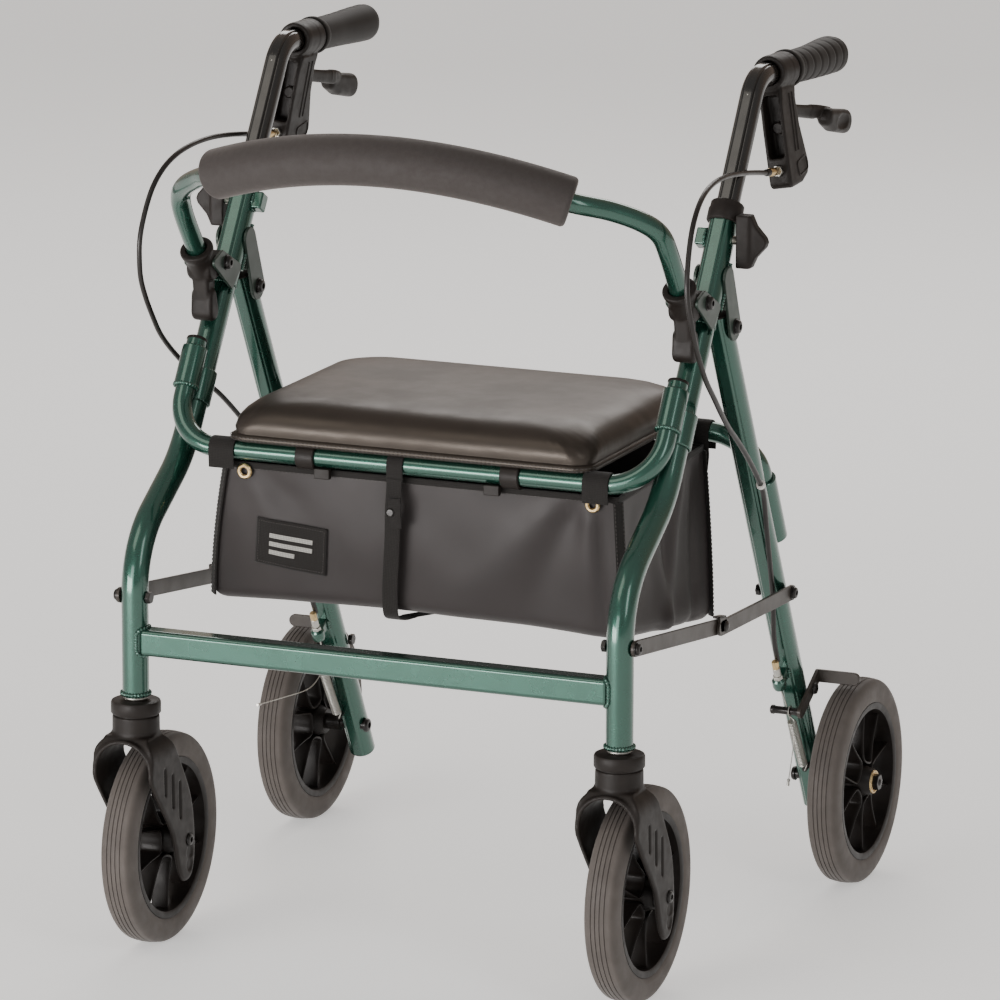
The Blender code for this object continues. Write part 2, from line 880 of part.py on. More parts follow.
def make_rear_axle(name, side):
    profile = [
        (0, 0.3198),
        (0.0060, 0.3198),
        (0.0078, 0.3180),
        (0.0078, 0.3122),
        (0.0050, 0.3122),
        (0.0050, 0.2728),
        (0.0080, 0.2728),
        (0.0080, 0.2574),
        (0.0050, 0.2574),
        (0.0050, 0.2312),
        (0.0068, 0.2312),
        (0.0068, 0.2272),
        (0, 0.2272),
    ]
    return turned(
        f"rear_axle_{name}", profile, sideways((0, REAR_AXLE_Y, AXLE_Z), side), BLACK_METAL
    )


# Side braces


def brace_outline(first, second, extra=()):
    return hull(
        (first.y, first.z, BRACE_HALF_WIDTH), (second.y, second.z, BRACE_HALF_WIDTH), *extra, count=12
    )


def brace_bolt(name, side, centre, near, far):
    """Shaft through the leg, a nut inside it and a head outside the link."""

    def turned_piece(part, inner, outer, radius, facets=8):
        start = across(inner, side, centre)
        return rod(f"{name}_{part}", start, across(outer, side, centre), radius, BLACK_METAL, facets)

    shaft = turned_piece("shaft", -0.0150, far, 0.0030)
    nut = turned_piece("nut", -0.0172, -0.0131, 0.0055)
    washer = turned_piece("washer", 0.0131, near, 0.0062, 12)
    head = turned_piece("head", near, far, 0.0055)
    return shaft, nut, washer, head


def make_front_link(name, side):
    """The brace's front link, with its own bolt through the front leg."""
    link = side_plate(
        f"brace_front_link_{name}",
        brace_outline(BRACE_FRONT, BRACE_MIDDLE),
        side * (LEG_X + 0.0131),
        side * (LEG_X + 0.0161),
        BLACK_METAL,
    )
    rivet = rod(
        f"front_link_rivet_{name}",
        across(0.0110, side, BRACE_MIDDLE),
        across(0.0145, side, BRACE_MIDDLE),
        0.0050,
        BLACK_METAL,
        12,
    )
    bolt = brace_bolt(f"front_link_bolt_{name}", side, BRACE_FRONT, 0.0160, 0.0205)
    return join(link, rivet, *bolt)


def make_rear_link(name, side):
    """The brace's rear link, with its bolt and the bent tab that stops the joint at straight."""
    toward = (BRACE_MIDDLE - BRACE_REAR).normalized()
    nose = BRACE_MIDDLE + toward * 0.010
    link = side_plate(
        f"brace_rear_link_{name}",
        brace_outline(BRACE_REAR, BRACE_MIDDLE, ((nose.y, nose.z, BRACE_HALF_WIDTH),)),
        side * (LEG_X + 0.0165),
        side * (LEG_X + 0.0195),
        BLACK_METAL,
    )
    rivet = rod(
        f"rear_link_rivet_{name}",
        across(0.0180, side, BRACE_MIDDLE),
        across(0.0225, side, BRACE_MIDDLE),
        0.0055,
        BLACK_METAL,
        12,
    )
    front_run = (BRACE_FRONT - BRACE_MIDDLE).normalized()
    front_up = Vector((0, front_run.z, -front_run.y))
    lip_start = BRACE_MIDDLE + front_run * 0.002 + front_up * 0.0094
    lip_end = BRACE_MIDDLE + front_run * 0.016 + front_up * 0.0094
    lip_outline = hull((lip_start.y, lip_start.z, 0.0012), (lip_end.y, lip_end.z, 0.0012), count=8)
    lip = side_plate(
        f"rear_link_lip_{name}",
        lip_outline,
        side * (LEG_X + 0.0120),
        side * (LEG_X + 0.0195),
        BLACK_METAL,
    )
    riser_outline = hull(
        (lip_start.y, lip_start.z, 0.0012),
        (lip_end.y, lip_end.z, 0.0012),
        (nose.y, nose.z, 0.0040),
        (BRACE_MIDDLE.y, BRACE_MIDDLE.z, 0.0040),
        count=8,
    )
    riser = side_plate(
        f"rear_link_riser_{name}",
        riser_outline,
        side * (LEG_X + 0.0165),
        side * (LEG_X + 0.0195),
        BLACK_METAL,
    )
    bolt = brace_bolt(f"rear_link_bolt_{name}", side, BRACE_REAR, 0.0175, 0.0235)
    return join(link, rivet, lip, riser, *bolt)


# Backrest


def bar_point(x):
    """The padded bar's centre line: it bows forward and up in the middle."""
    share = (x / 0.1763) ** 2
    return PAD_MIDDLE + Vector((x, PAD_SWEEP * share, -PAD_DROP * share))


def backrest_route():
    """From one socket, round the corner, along the bar and down into the other socket."""
    arm = [
        across(0, 1, SOCKET_TOP - SOCKET_AXIS * 0.022),
        across(0, 1, SOCKET_TOP),
        across(0, 1, SOCKET_TOP + SOCKET_AXIS * 0.044),
        Vector((0.2410, -0.1750, 0.7090)),
        Vector((0.2290, -0.1895, 0.7225)),
        Vector((0.2060, -0.2090, 0.7345)),
    ]
    bar = [bar_point(0.1763 * (1 - k / 4)) for k in range(9)]
    return smooth_route([*arm, *bar, *[mirrored(point, -1) for point in reversed(arm)]], 2)


def make_backrest_pad():
    count = 14
    pad_line = [bar_point(PAD_HALF_LENGTH * (1 - 2 * k / count)) for k in range(count + 1)]
    pad = tube("backrest_pad", pad_line, PAD_RADIUS, FOAM)
    bore_line = [bar_point(0.1900 * (1 - 2 * k / count)) for k in range(count + 1)]
    return cut(pad, tube("backrest_pad_bore", bore_line, BAR_RADIUS + 0.0013, FOAM))


def make_socket(name, side):
    """The moulded socket that the bar's end drops into, bolted between the front bracket's cheeks."""
    ring = rod(
        f"backrest_socket_{name}",
        across(0, side, SOCKET_TOP - SOCKET_AXIS * 0.034),
        across(0, side, SOCKET_TOP),
        0.0135,
        BLACK,
    )
    elbow = SOCKET_TOP - SOCKET_AXIS * 0.026
    body = side_plate(
        f"socket_body_{name}",
        hull((SOCKET_BOLT.y, SOCKET_BOLT.z, 0.0110), (elbow.y, elbow.z, 0.0125)),
        side * (LEG_X - 0.0125),
        side * (LEG_X + 0.0125),
        BLACK,
    )
    arm = side_plate(
        f"socket_arm_{name}",
        hull((elbow.y + 0.001, elbow.z - 0.004, 0.0105), (-0.1185, 0.602, 0.0075), count=12),
        side * (LEG_X - 0.0085),
        side * (LEG_X + 0.0085),
        BLACK,
    )
    foot = side_plate(
        f"socket_foot_{name}",
        hull((-0.1185, 0.604, 0.0070), (-0.1170, 0.5890, 0.0095), count=12),
        side * (LEG_X - 0.0110),
        side * (LEG_X + 0.0110),
        BLACK,
    )
    join(ring, body, arm, foot)
    bore = rod(
        f"socket_bore_{name}",
        across(0, side, SOCKET_TOP - SOCKET_AXIS * 0.024),
        across(0, side, SOCKET_TOP + SOCKET_AXIS * 0.02),
        0.0102,
        BLACK,
    )
    bolt_bore = rod(
        f"socket_bolt_bore_{name}",
        across(-0.03, side, SOCKET_BOLT),
        across(0.03, side, SOCKET_BOLT),
        0.0045,
        BLACK,
        SLIM_FACETS,
    )
    return cut(ring, bore, bolt_bore)


# Seat and bag


def make_seat_board():
    return box(
        "seat_board",
        (-0.172, -0.196, SEAT_BOARD_Z),
        (0.172, 0.066, SEAT_BOARD_Z + SEAT_BOARD_THICKNESS),
        BOARD,
    )


def make_seat_cushion():
    """A padded block with rounded corners and a top that narrows a little."""
    floor = SEAT_BOARD_Z + SEAT_BOARD_THICKNESS + GAP
    cushion = box(
        "seat_cushion",
        (-SEAT_HALF_WIDTH, SEAT_FRONT_Y, floor),
        (SEAT_HALF_WIDTH, SEAT_BACK_Y, SEAT_TOP_Z),
        VINYL,
        0.013,
        3,
    )
    middle_y = (SEAT_FRONT_Y + SEAT_BACK_Y) / 2
    for corner in cushion.data.vertices:
        if corner.co.z > floor + 0.01:
            corner.co.x *= 0.955
            corner.co.y = middle_y + (corner.co.y - middle_y) * 0.945
    return cushion


def make_seat_clip(name, side):
    """A ring round the front rail with a foot screwed under the seat board."""
    x = side * SEAT_CLIP_X
    half = 0.009
    ring = rod(
        f"seat_hinge_{name}",
        Vector((x - half, FRONT_RAIL.y, FRONT_RAIL.z)),
        Vector((x + half, FRONT_RAIL.y, FRONT_RAIL.z)),
        0.0125,
        BLACK,
    )
    foot = box(
        f"seat_hinge_foot_{name}",
        (x - half, FRONT_RAIL.y, FRONT_RAIL.z + 0.0020),
        (x + half, FRONT_RAIL.y + 0.0350, SEAT_BOARD_Z - GAP),
        BLACK,
    )
    trim = box(
        f"seat_hinge_trim_{name}",
        (x - 0.02, FRONT_RAIL.y - 0.03, SEAT_BOARD_Z - GAP),
        (x + 0.02, FRONT_RAIL.y + 0.05, SEAT_BOARD_Z + 0.03),
        BLACK,
    )
    bore = rod(
        f"seat_hinge_bore_{name}",
        Vector((x - 0.02, FRONT_RAIL.y, FRONT_RAIL.z)),
        Vector((x + 0.02, FRONT_RAIL.y, FRONT_RAIL.z)),
        RAIL_RADIUS + 0.0005,
        BLACK,
    )
    return cut(join(ring, foot), bore, trim)


def make_bag():
    """An open-topped bag that hangs under the seat rails, a little shorter in front."""
    corners = {
        (-1, -1): (-0.1745, 0.3230),
        (1, -1): (0.0450, 0.2940),
        (-1, 1): (-0.1905, BAG_TOP_Z),
        (1, 1): (0.0500, BAG_TOP_Z),
    }
    bm = bmesh.new()
    bmesh.ops.create_cube(bm, size=2)
    for corner in bm.verts:
        y, z = corners[(round(corner.co.y), round(corner.co.z))]
        half_width = BAG_MOUTH_HALF_WIDTH if corner.co.z > 0 else BAG_FOOT_HALF_WIDTH
        corner.co = Vector((corner.co.x * half_width, y, z))
    lid = max(bm.faces, key=lambda face: face.calc_center_median().z)
    bmesh.ops.delete(bm, geom=[lid], context="FACES_ONLY")
    bag = from_bmesh("storage_bag", bm, FABRIC)
    wall = bag.modifiers.new("wall", "SOLIDIFY")
    wall.thickness = BAG_WALL
    wall.offset = -1
    wall.use_even_offset = True
    return bag


# Handles and brakes


def handle_direction():
    return (HANDLE_END - HANDLE_CORNER).normalized()


def on_handle(y):
    """The handle tube's centre at this Y, on its level run, on the left side."""
    run = handle_direction()
    return HANDLE_CORNER + run * ((y - HANDLE_CORNER.y) / run.y)


def make_handle_tube(name, side):
    corners = [across(0, 1, leg_point(HANDLE_FOOT_Z)), HANDLE_CORNER, HANDLE_END]
    corners = [mirrored(corner, side) for corner in corners]
    return tube(f"handle_tube_{name}", bent_route(corners, (HANDLE_BEND,)), HANDLE_RADIUS, GLOSS_BLACK)


def make_grip(name, side):
    """A rubber grip that swells towards its closed end."""
    start = on_handle(GRIP_START_Y)
    length = (on_handle(GRIP_END_Y) - start).length
    tube_reach = (HANDLE_END - start).length + 0.0006
    bore = HANDLE_RADIUS + 0.0004
    profile = [
        (0, length),
        (0.0110, length),
        (0.0150, length - 0.005),
        (0.0165, length - 0.020),
        (0.0160, length * 0.5),
        (0.0155, 0.010),
        (0.0150, 0),
        (bore, 0),
        (bore, tube_reach),
        (0, tube_reach),
    ]
    direction = mirrored(handle_direction(), side)
    return turned(f"hand_grip_{name}", profile, along(mirrored(start, side), direction), RUBBER)


def leaned(point, side):
    """Where a point of an upright housing comes to when its foot leans outward."""
    hinge = Vector((side * LEG_X, 0, HOUSING_HINGE_Z))
    return hinge + Matrix.Rotation(-side * HOUSING_LEAN, 3, "Y") @ (Vector(point) - hinge)


def make_housing(name, side):
    """The brake lever housing: a clamp ring on the handle tube and a body that hangs below it."""
    outline = [
        (0.0885, 0.8050),
        (0.0830, 0.7850),
        (0.0820, 0.7620),
        (0.0800, 0.7120),
        (0.0836, 0.7080),
        (0.1121, 0.7095),
        (0.1281, 0.7150),
        (0.1338, 0.7240),
        (0.1313, 0.7350),
        (0.1243, 0.7630),
        (0.1230, 0.7900),
        (0.1294, 0.7970),
        (0.1294, 0.8080),
        (0.1200, 0.8150),
        (0.1000, 0.8150),
    ]
    hinge = Vector((side * LEG_X, 0, HOUSING_HINGE_Z))
    lean = Matrix.Translation(hinge) @ Matrix.Rotation(-side * HOUSING_LEAN, 4, "Y")
    place = lean @ Matrix.Translation(-hinge) @ side_frame(side * LEG_X)
    body = plate(f"brake_housing_{name}", outline, 0.0220, place, BLACK)
    start = mirrored(on_handle(0.0900), side)
    end = mirrored(on_handle(0.1300), side)
    ring = rod(f"housing_ring_{name}", start, end, 0.0170, BLACK)
    barrel = rod(
        f"housing_barrel_{name}",
        leaned((side * LEG_X, 0.0850, 0.7250), side),
        leaned((side * LEG_X, 0.0505, 0.7290), side),
        0.0040,
        STEEL,
        8,
    )
    join(body, ring, barrel)
    run = (end - start).normalized()
    bore = rod(f"housing_bore_{name}", start - run * 0.02, end + run * 0.02, HANDLE_RADIUS + 0.0005, BLACK)
    slot_half = 0.0048
    slot = box(
        f"housing_slot_{name}",
        (side * (LEG_X + LEVER_OUT) - slot_half, LEVER_PIVOT.y - 0.0085, LEVER_PIVOT.z - 0.0145),
        (side * (LEG_X + LEVER_OUT) + slot_half, LEVER_PIVOT.y + 0.06, LEVER_PIVOT.z + 0.0150),
        BLACK,
    )
    return cut(body, bore, slot)


def make_lever(name, side):
    """The brake lever: a flat arm out of the housing and a wide finger paddle."""
    arm = side_plate(
        f"brake_lever_{name}",
        hull((LEVER_PIVOT.y, LEVER_PIVOT.z, 0.0065), (0.1980, 0.7600, 0.0072), count=12),
        side * (LEG_X + LEVER_OUT - 0.0040),
        side * (LEG_X + LEVER_OUT + 0.0040),
        BLACK,
    )
    paddle = side_plate(
        f"lever_paddle_{name}",
        hull((0.2030, 0.7560, 0.0100), (0.2520, 0.7470, 0.0125), count=16),
        side * (LEG_X + LEVER_OUT + 0.0010),
        side * (LEG_X + LEVER_OUT + 0.0170),
        BLACK,
    )
    return join(arm, paddle)


def make_brake_arm(name, side):
    """The bell crank: a pin in front of the leg, a flat arm past it and a bar over the tyre."""
    half_width = 0.0062
    arm = side_plate(
        f"brake_arm_{name}",
        hull((ARM_PIN.y, ARM_PIN.z, half_width), (ARM_ELBOW.y, ARM_ELBOW.z, half_width), count=12),
        side * (LEG_X + 0.0140),
        side * (LEG_X + 0.0180),
        BLACK_METAL,
    )
    shoe = box(
        f"brake_shoe_{name}",
        across(0.0140, side, ARM_ELBOW - Vector((0, 0.0022, half_width))),
        across(0.0600, side, ARM_ELBOW + Vector((0, 0.0022, half_width))),
        BLACK_METAL,
    )
    hardware = [
        rod(
            f"{label}_{name}",
            across(inner, side, centre),
            across(outer, side, centre),
            radius,
            BLACK_METAL,
            facets,
        )
        for label, centre, inner, outer, radius, facets in (
            ("brake_pin", ARM_PIN, -0.0150, 0.0160, 0.0042, 12),
            ("arm_shaft", ARM_PIVOT, -0.0150, 0.0160, 0.0030, 8),
            ("arm_nut", ARM_PIVOT, -0.0172, -0.0131, 0.0055, 8),
        )
    ]
    return join(arm, shoe, *hardware)


def make_cable(name, side):
    route = smooth_route([mirrored(point, side) for point in CABLE_ROUTE], 2)
    return tube(f"brake_cable_{name}", route, CABLE_RADIUS, BLACK, 8)


# Bodies: each holds the pieces that move together, under an empty on its joint's axis


def make_body(name, origin, pieces):
    pivot = bpy.data.objects.new(name, None)
    PARTS.objects.link(pivot)
    pivot.empty_display_size = 0.03
    pivot.location = origin
    bpy.context.view_layer.update()
    for piece in pieces:
        piece.parent = pivot
        piece.matrix_parent_inverse = pivot.matrix_world.inverted()


def build_side(name, side):
    """All pieces of one side. Returns those of the fixed frame and those of the rear frame."""
    caster = Vector((side * LEG_X, STEM_Y + CASTER_TRAIL, AXLE_Z))
    rear_wheel = Vector((side * REAR_WHEEL_X, REAR_AXLE_Y, AXLE_Z))
    fixed = [
        make_front_leg(name, side),
        make_pivot_bracket(name, side),
        make_front_bracket(name, side),
        make_pivot_bolt(name, side),
        make_rail_sleeve(name, side),
        make_socket(name, side),
        make_collar(name, side),
        make_caster_stem(name, side),
        make_cable(name, side),
    ]
    rear = [make_rear_leg(name, side), make_rear_axle(name, side)]
    make_body(
        f"caster_{name}_pivot",
        (side * LEG_X, STEM_Y, LEG_FOOT_Z),
        [make_fork(name, side), make_caster_axle(name, side)],
    )
    make_body(
        f"front_wheel_{name}_pivot",
        caster,
        [
            make_tyre(f"front_tyre_{name}", caster, side),
            make_hub(f"front_hub_{name}", caster, side, 0.0200, 0.0043),
        ],
    )
    make_body(
        f"rear_wheel_{name}_pivot",
        rear_wheel,
        [
            make_tyre(f"rear_tyre_{name}", rear_wheel, side),
            make_hub(f"rear_hub_{name}", rear_wheel, side, 0.0190, 0.0054),
        ],
    )
    make_body(f"front_link_{name}_pivot", across(0.0146, side, BRACE_FRONT), [make_front_link(name, side)])
    make_body(f"rear_link_{name}_pivot", across(0.0180, side, BRACE_REAR), [make_rear_link(name, side)])
    make_body(f"knob_{name}_pivot", across(LEG_RADIUS, side, KNOB_CENTRE), [make_knob(name, side)])
    make_body(
        f"handle_{name}_pivot",
        across(0, side, leg_point(HANDLE_FOOT_Z)),
        [make_handle_tube(name, side), make_grip(name, side), make_housing(name, side)],
    )
    make_body(f"lever_{name}_pivot", across(LEVER_OUT, side, LEVER_PIVOT), [make_lever(name, side)])
    make_body(f"brake_arm_{name}_pivot", across(0.0160, side, ARM_PIVOT), [make_brake_arm(name, side)])
    return fixed, rear


def build_walker():
    fixed = [
        make_cross_tube(),
        make_rail("front_rail", front_rail_top(), FRONT_RAIL),
        make_bag(),
    ]
    rear = [make_rail("rear_rail", rear_rail_point(0.366), rear_rail_point(REAR_RAIL_Z))]
    for name, side in SIDES.items():
        side_fixed, side_rear = build_side(name, side)
        fixed += side_fixed
        rear += side_rear
    make_body("frame_base", (0, 0, 0), fixed)
    make_body("rear_frame_pivot", PIVOT, rear)
    seat = [make_seat_board(), make_seat_cushion()]
    seat += [make_seat_clip(name, side) for name, side in SIDES.items()]
    make_body("seat_pivot", FRONT_RAIL, seat)
    bar = tube("backrest_tube", backrest_route(), BAR_RADIUS, GREEN, SLIM_FACETS)
    make_body("backrest_pivot", SOCKET_TOP, [bar, make_backrest_pad()])


build_walker()
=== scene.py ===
"""The finished look of the rollator walker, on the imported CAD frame. Metres, +Z up, -Y is forward."""

from math import acos, atan2, ceil, cos, exp, hypot, pi, radians, sin, sqrt, tan
from random import Random

import bmesh
import bpy
from mathutils import Matrix, Vector, noise
from mathutils.geometry import convex_hull_2d


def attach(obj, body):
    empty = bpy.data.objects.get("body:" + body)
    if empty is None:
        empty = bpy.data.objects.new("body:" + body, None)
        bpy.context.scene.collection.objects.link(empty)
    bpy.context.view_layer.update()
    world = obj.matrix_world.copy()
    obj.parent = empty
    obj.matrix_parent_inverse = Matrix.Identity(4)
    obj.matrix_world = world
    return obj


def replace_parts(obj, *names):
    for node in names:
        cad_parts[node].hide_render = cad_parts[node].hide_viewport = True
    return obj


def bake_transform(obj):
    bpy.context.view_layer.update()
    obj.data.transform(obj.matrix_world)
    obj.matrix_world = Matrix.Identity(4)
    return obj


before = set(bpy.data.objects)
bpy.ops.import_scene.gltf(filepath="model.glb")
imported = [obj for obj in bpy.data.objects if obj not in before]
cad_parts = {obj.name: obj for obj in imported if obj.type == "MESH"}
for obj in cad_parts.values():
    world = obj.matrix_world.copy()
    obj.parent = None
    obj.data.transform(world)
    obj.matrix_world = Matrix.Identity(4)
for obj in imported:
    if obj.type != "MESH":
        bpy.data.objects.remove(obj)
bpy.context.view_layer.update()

SIDES = {"left": 1, "right": -1}
X_AXIS = Vector((1, 0, 0))
Y_AXIS = Vector((0, 1, 0))
Z_AXIS = Vector((0, 0, 1))

# Places shared with the CAD
LEG_X = 0.2443
STEM_Y = -0.274
WHEEL_RADIUS = 0.1016
AXLE_Z = WHEEL_RADIUS * cos(pi / 32)
FRONT_AXLE_Y = STEM_Y + 0.0483
REAR_WHEEL_X = 0.2925
REAR_AXLE_Y = 0.2256
LEG_RADIUS = 0.0127
RAIL_RADIUS = 0.0095
LEG_LEAN = 0.635
LEG_LEAN_Y = -0.0975
LEG_LEAN_Z = 0.5749
LEG_TOP_Z = 0.700
PIVOT = Vector((0, -0.030, 0.5984))
REAR_LEG_LEAN = -0.525
REAR_LEG_TOP_Z = 0.6126
REAR_LEG_FOOT_Z = 0.0707
RAIL_OFFSET = 0.0254
FRONT_RAIL = Vector((0, -0.1906, 0.4757))
REAR_RAIL_Z = 0.4745
BRACE_FRONT = Vector((0, STEM_Y, 0.3460))
BRACE_MIDDLE = Vector((0, -0.056, 0.3175))
BRACE_REAR = Vector((0, 0.1214, 0.3100))
SOCKET_TOP = Vector((0, -0.1355, 0.6527))
SOCKET_AXIS = Vector((0, -0.582, 0.813)).normalized()
SOCKET_BOLT = Vector((0, -0.1016, 0.6340))
PAD_MIDDLE = Vector((0, -0.262, 0.774))
PAD_RADIUS = 0.0237
PAD_HALF_LENGTH = 0.178
PAD_SWEEP = 0.0283
PAD_DROP = 0.0296
SEAT_HALF_WIDTH = 0.185
SEAT_FRONT_Y = -0.203
SEAT_BACK_Y = 0.072
SEAT_BOARD_Z = 0.4865
SEAT_CLIP_X = 0.1035
BAG_HALF_WIDTH = 0.2085
BAG_TOP_Z = 0.4622
PLATE_INNER = 0.0131
PLATE_OUTER = 0.0161
LINK_INNER = 0.0165
LINK_OUTER = 0.0195
BRACE_RADIUS = 0.0075
HANDLE_CORNER = Vector((LEG_X, LEG_LEAN_Y + LEG_LEAN * (0.819 - LEG_LEAN_Z), 0.819))
HANDLE_END = Vector((LEG_X + 0.0031, 0.250, 0.8098))
GRIP_START_Y = 0.1310
GRIP_END_Y = 0.2640
HOUSING_HINGE_Z = 0.815
HOUSING_LEAN = radians(9.8)
LEVER_PIVOT = Vector((0, 0.114, 0.778))
LEVER_OUT = 0.0068
KNOB_CENTRE = Vector((0, -0.0308, 0.680))
ARM_PIVOT = Vector((0, 0.188, 0.199))
ARM_PIN = Vector((0, 0.157, 0.1825))
ARM_ELBOW = Vector((0, 0.203, 0.2085))
CABLE_RADIUS = 0.0025
CABLE_ROUTE = (
    (0.2589, 0.0500, 0.7302),
    (0.2592, 0.0250, 0.7345),
    (0.2597, 0.0000, 0.7385),
    (0.2603, -0.0300, 0.7425),
    (0.2612, -0.0650, 0.7455),
    (0.2632, -0.1000, 0.7450),
    (0.2660, -0.1300, 0.7400),
    (0.2688, -0.1540, 0.7300),
    (0.2712, -0.1730, 0.7140),
    (0.2732, -0.1860, 0.6920),
    (0.2748, -0.1930, 0.6700),
    (0.2758, -0.1926, 0.6500),
    (0.2773, -0.1869, 0.6300),
    (0.2772, -0.1770, 0.6100),
    (0.2770, -0.1633, 0.5900),
    (0.2768, -0.1472, 0.5700),
    (0.2758, -0.1244, 0.5500),
    (0.2731, -0.0984, 0.5300),
    (0.2692, -0.0683, 0.5100),
    (0.2667, -0.0364, 0.4900),
    (0.2650, -0.0050, 0.4670),
    (0.2635, 0.0220, 0.4450),
    (0.2618, 0.0420, 0.4265),
    (0.2595, 0.0545, 0.4080),
    (0.2565, 0.0690, 0.3790),
    (0.2535, 0.0860, 0.3440),
    (0.2497, 0.1050, 0.3060),
    (0.2455, 0.1205, 0.2640),
    (0.2443, 0.1343, 0.2372),
)


# Camera, light and floor


def make_camera():
    data = bpy.data.cameras.new("camera")
    data.lens = 248.29
    data.sensor_width = 36
    data.clip_end = 50
    camera = bpy.data.objects.new("camera", data)
    bpy.context.scene.collection.objects.link(camera)
    camera.location = (2.5013, -5.9069, 1.8858)
    look = Vector((0.0413, -0.074, 0.4221)) - camera.location
    roll = Matrix.Rotation(0.0024, 3, "Z").to_quaternion()
    camera.rotation_euler = (look.to_track_quat("-Z", "Y") @ roll).to_euler()
    bpy.context.scene.camera = camera


def area_light(name, place, target, size, power, colour=(1, 1, 1)):
    data = bpy.data.lights.new(name, "AREA")
    data.shape = "RECTANGLE"
    data.size = size[0]
    data.size_y = size[1]
    data.energy = power
    data.color = colour
    light = bpy.data.objects.new(name, data)
    bpy.context.scene.collection.objects.link(light)
    light.location = place
    light.rotation_euler = (Vector(target) - Vector(place)).to_track_quat("-Z", "Y").to_euler()


def make_studio():
    world = bpy.data.worlds.new("studio")
    bpy.context.scene.world = world
    world.use_nodes = True
    nodes = world.node_tree.nodes
    links = world.node_tree.links
    split = nodes.new("ShaderNodeSeparateXYZ")
    links.new(nodes.new("ShaderNodeTexCoord").outputs["Generated"], split.inputs["Vector"])
    ramp = nodes.new("ShaderNodeValToRGB")
    ramp.color_ramp.elements[0].position = 0.0
    ramp.color_ramp.elements[0].color = (1.0, 0.985, 0.965, 1)
    ramp.color_ramp.elements[1].position = 0.75
    ramp.color_ramp.elements[1].color = (1.0, 0.79, 0.65, 1)
    links.new(split.outputs["Y"], ramp.inputs["Fac"])
    back = nodes["Background"]
    links.new(ramp.outputs["Color"], back.inputs["Color"])
    back.inputs["Strength"].default_value = 0.42
    area_light("key_light", (-1.7, -2.7, 3.5), (0, 0, 0.5), (1.9, 1.9), 22, (1, 0.94, 0.84))
    area_light("right_light", (3.0, -2.2, 2.2), (0, 0, 0.4), (0.9, 2.0), 20)
    area_light("low_panel", (-1.15, -2.5, 0.32), (0, -0.1, 0.45), (1.7, 0.62), 44, (1, 0.97, 0.96))
    area_light("back_light", (-0.8, 3.2, 2.6), (0, 0, 0.5), (2.6, 1.2), 40)
    area_light("front_strip", (-0.6, -5.2, 1.0), (0, 0, 0.5), (2.2, 2.2), 56)
    floor_mesh = bpy.data.meshes.new("floor")
    reach = 14
    floor_mesh.from_pydata(
        [(-reach, -reach, 0), (reach, -reach, 0), (reach, reach, 0), (-reach, reach, 0)], [], [(0, 1, 2, 3)]
    )
    floor = bpy.data.objects.new("floor", floor_mesh)
    bpy.context.scene.collection.objects.link(floor)
    floor_mesh.materials.append(FLOOR)


# Materials


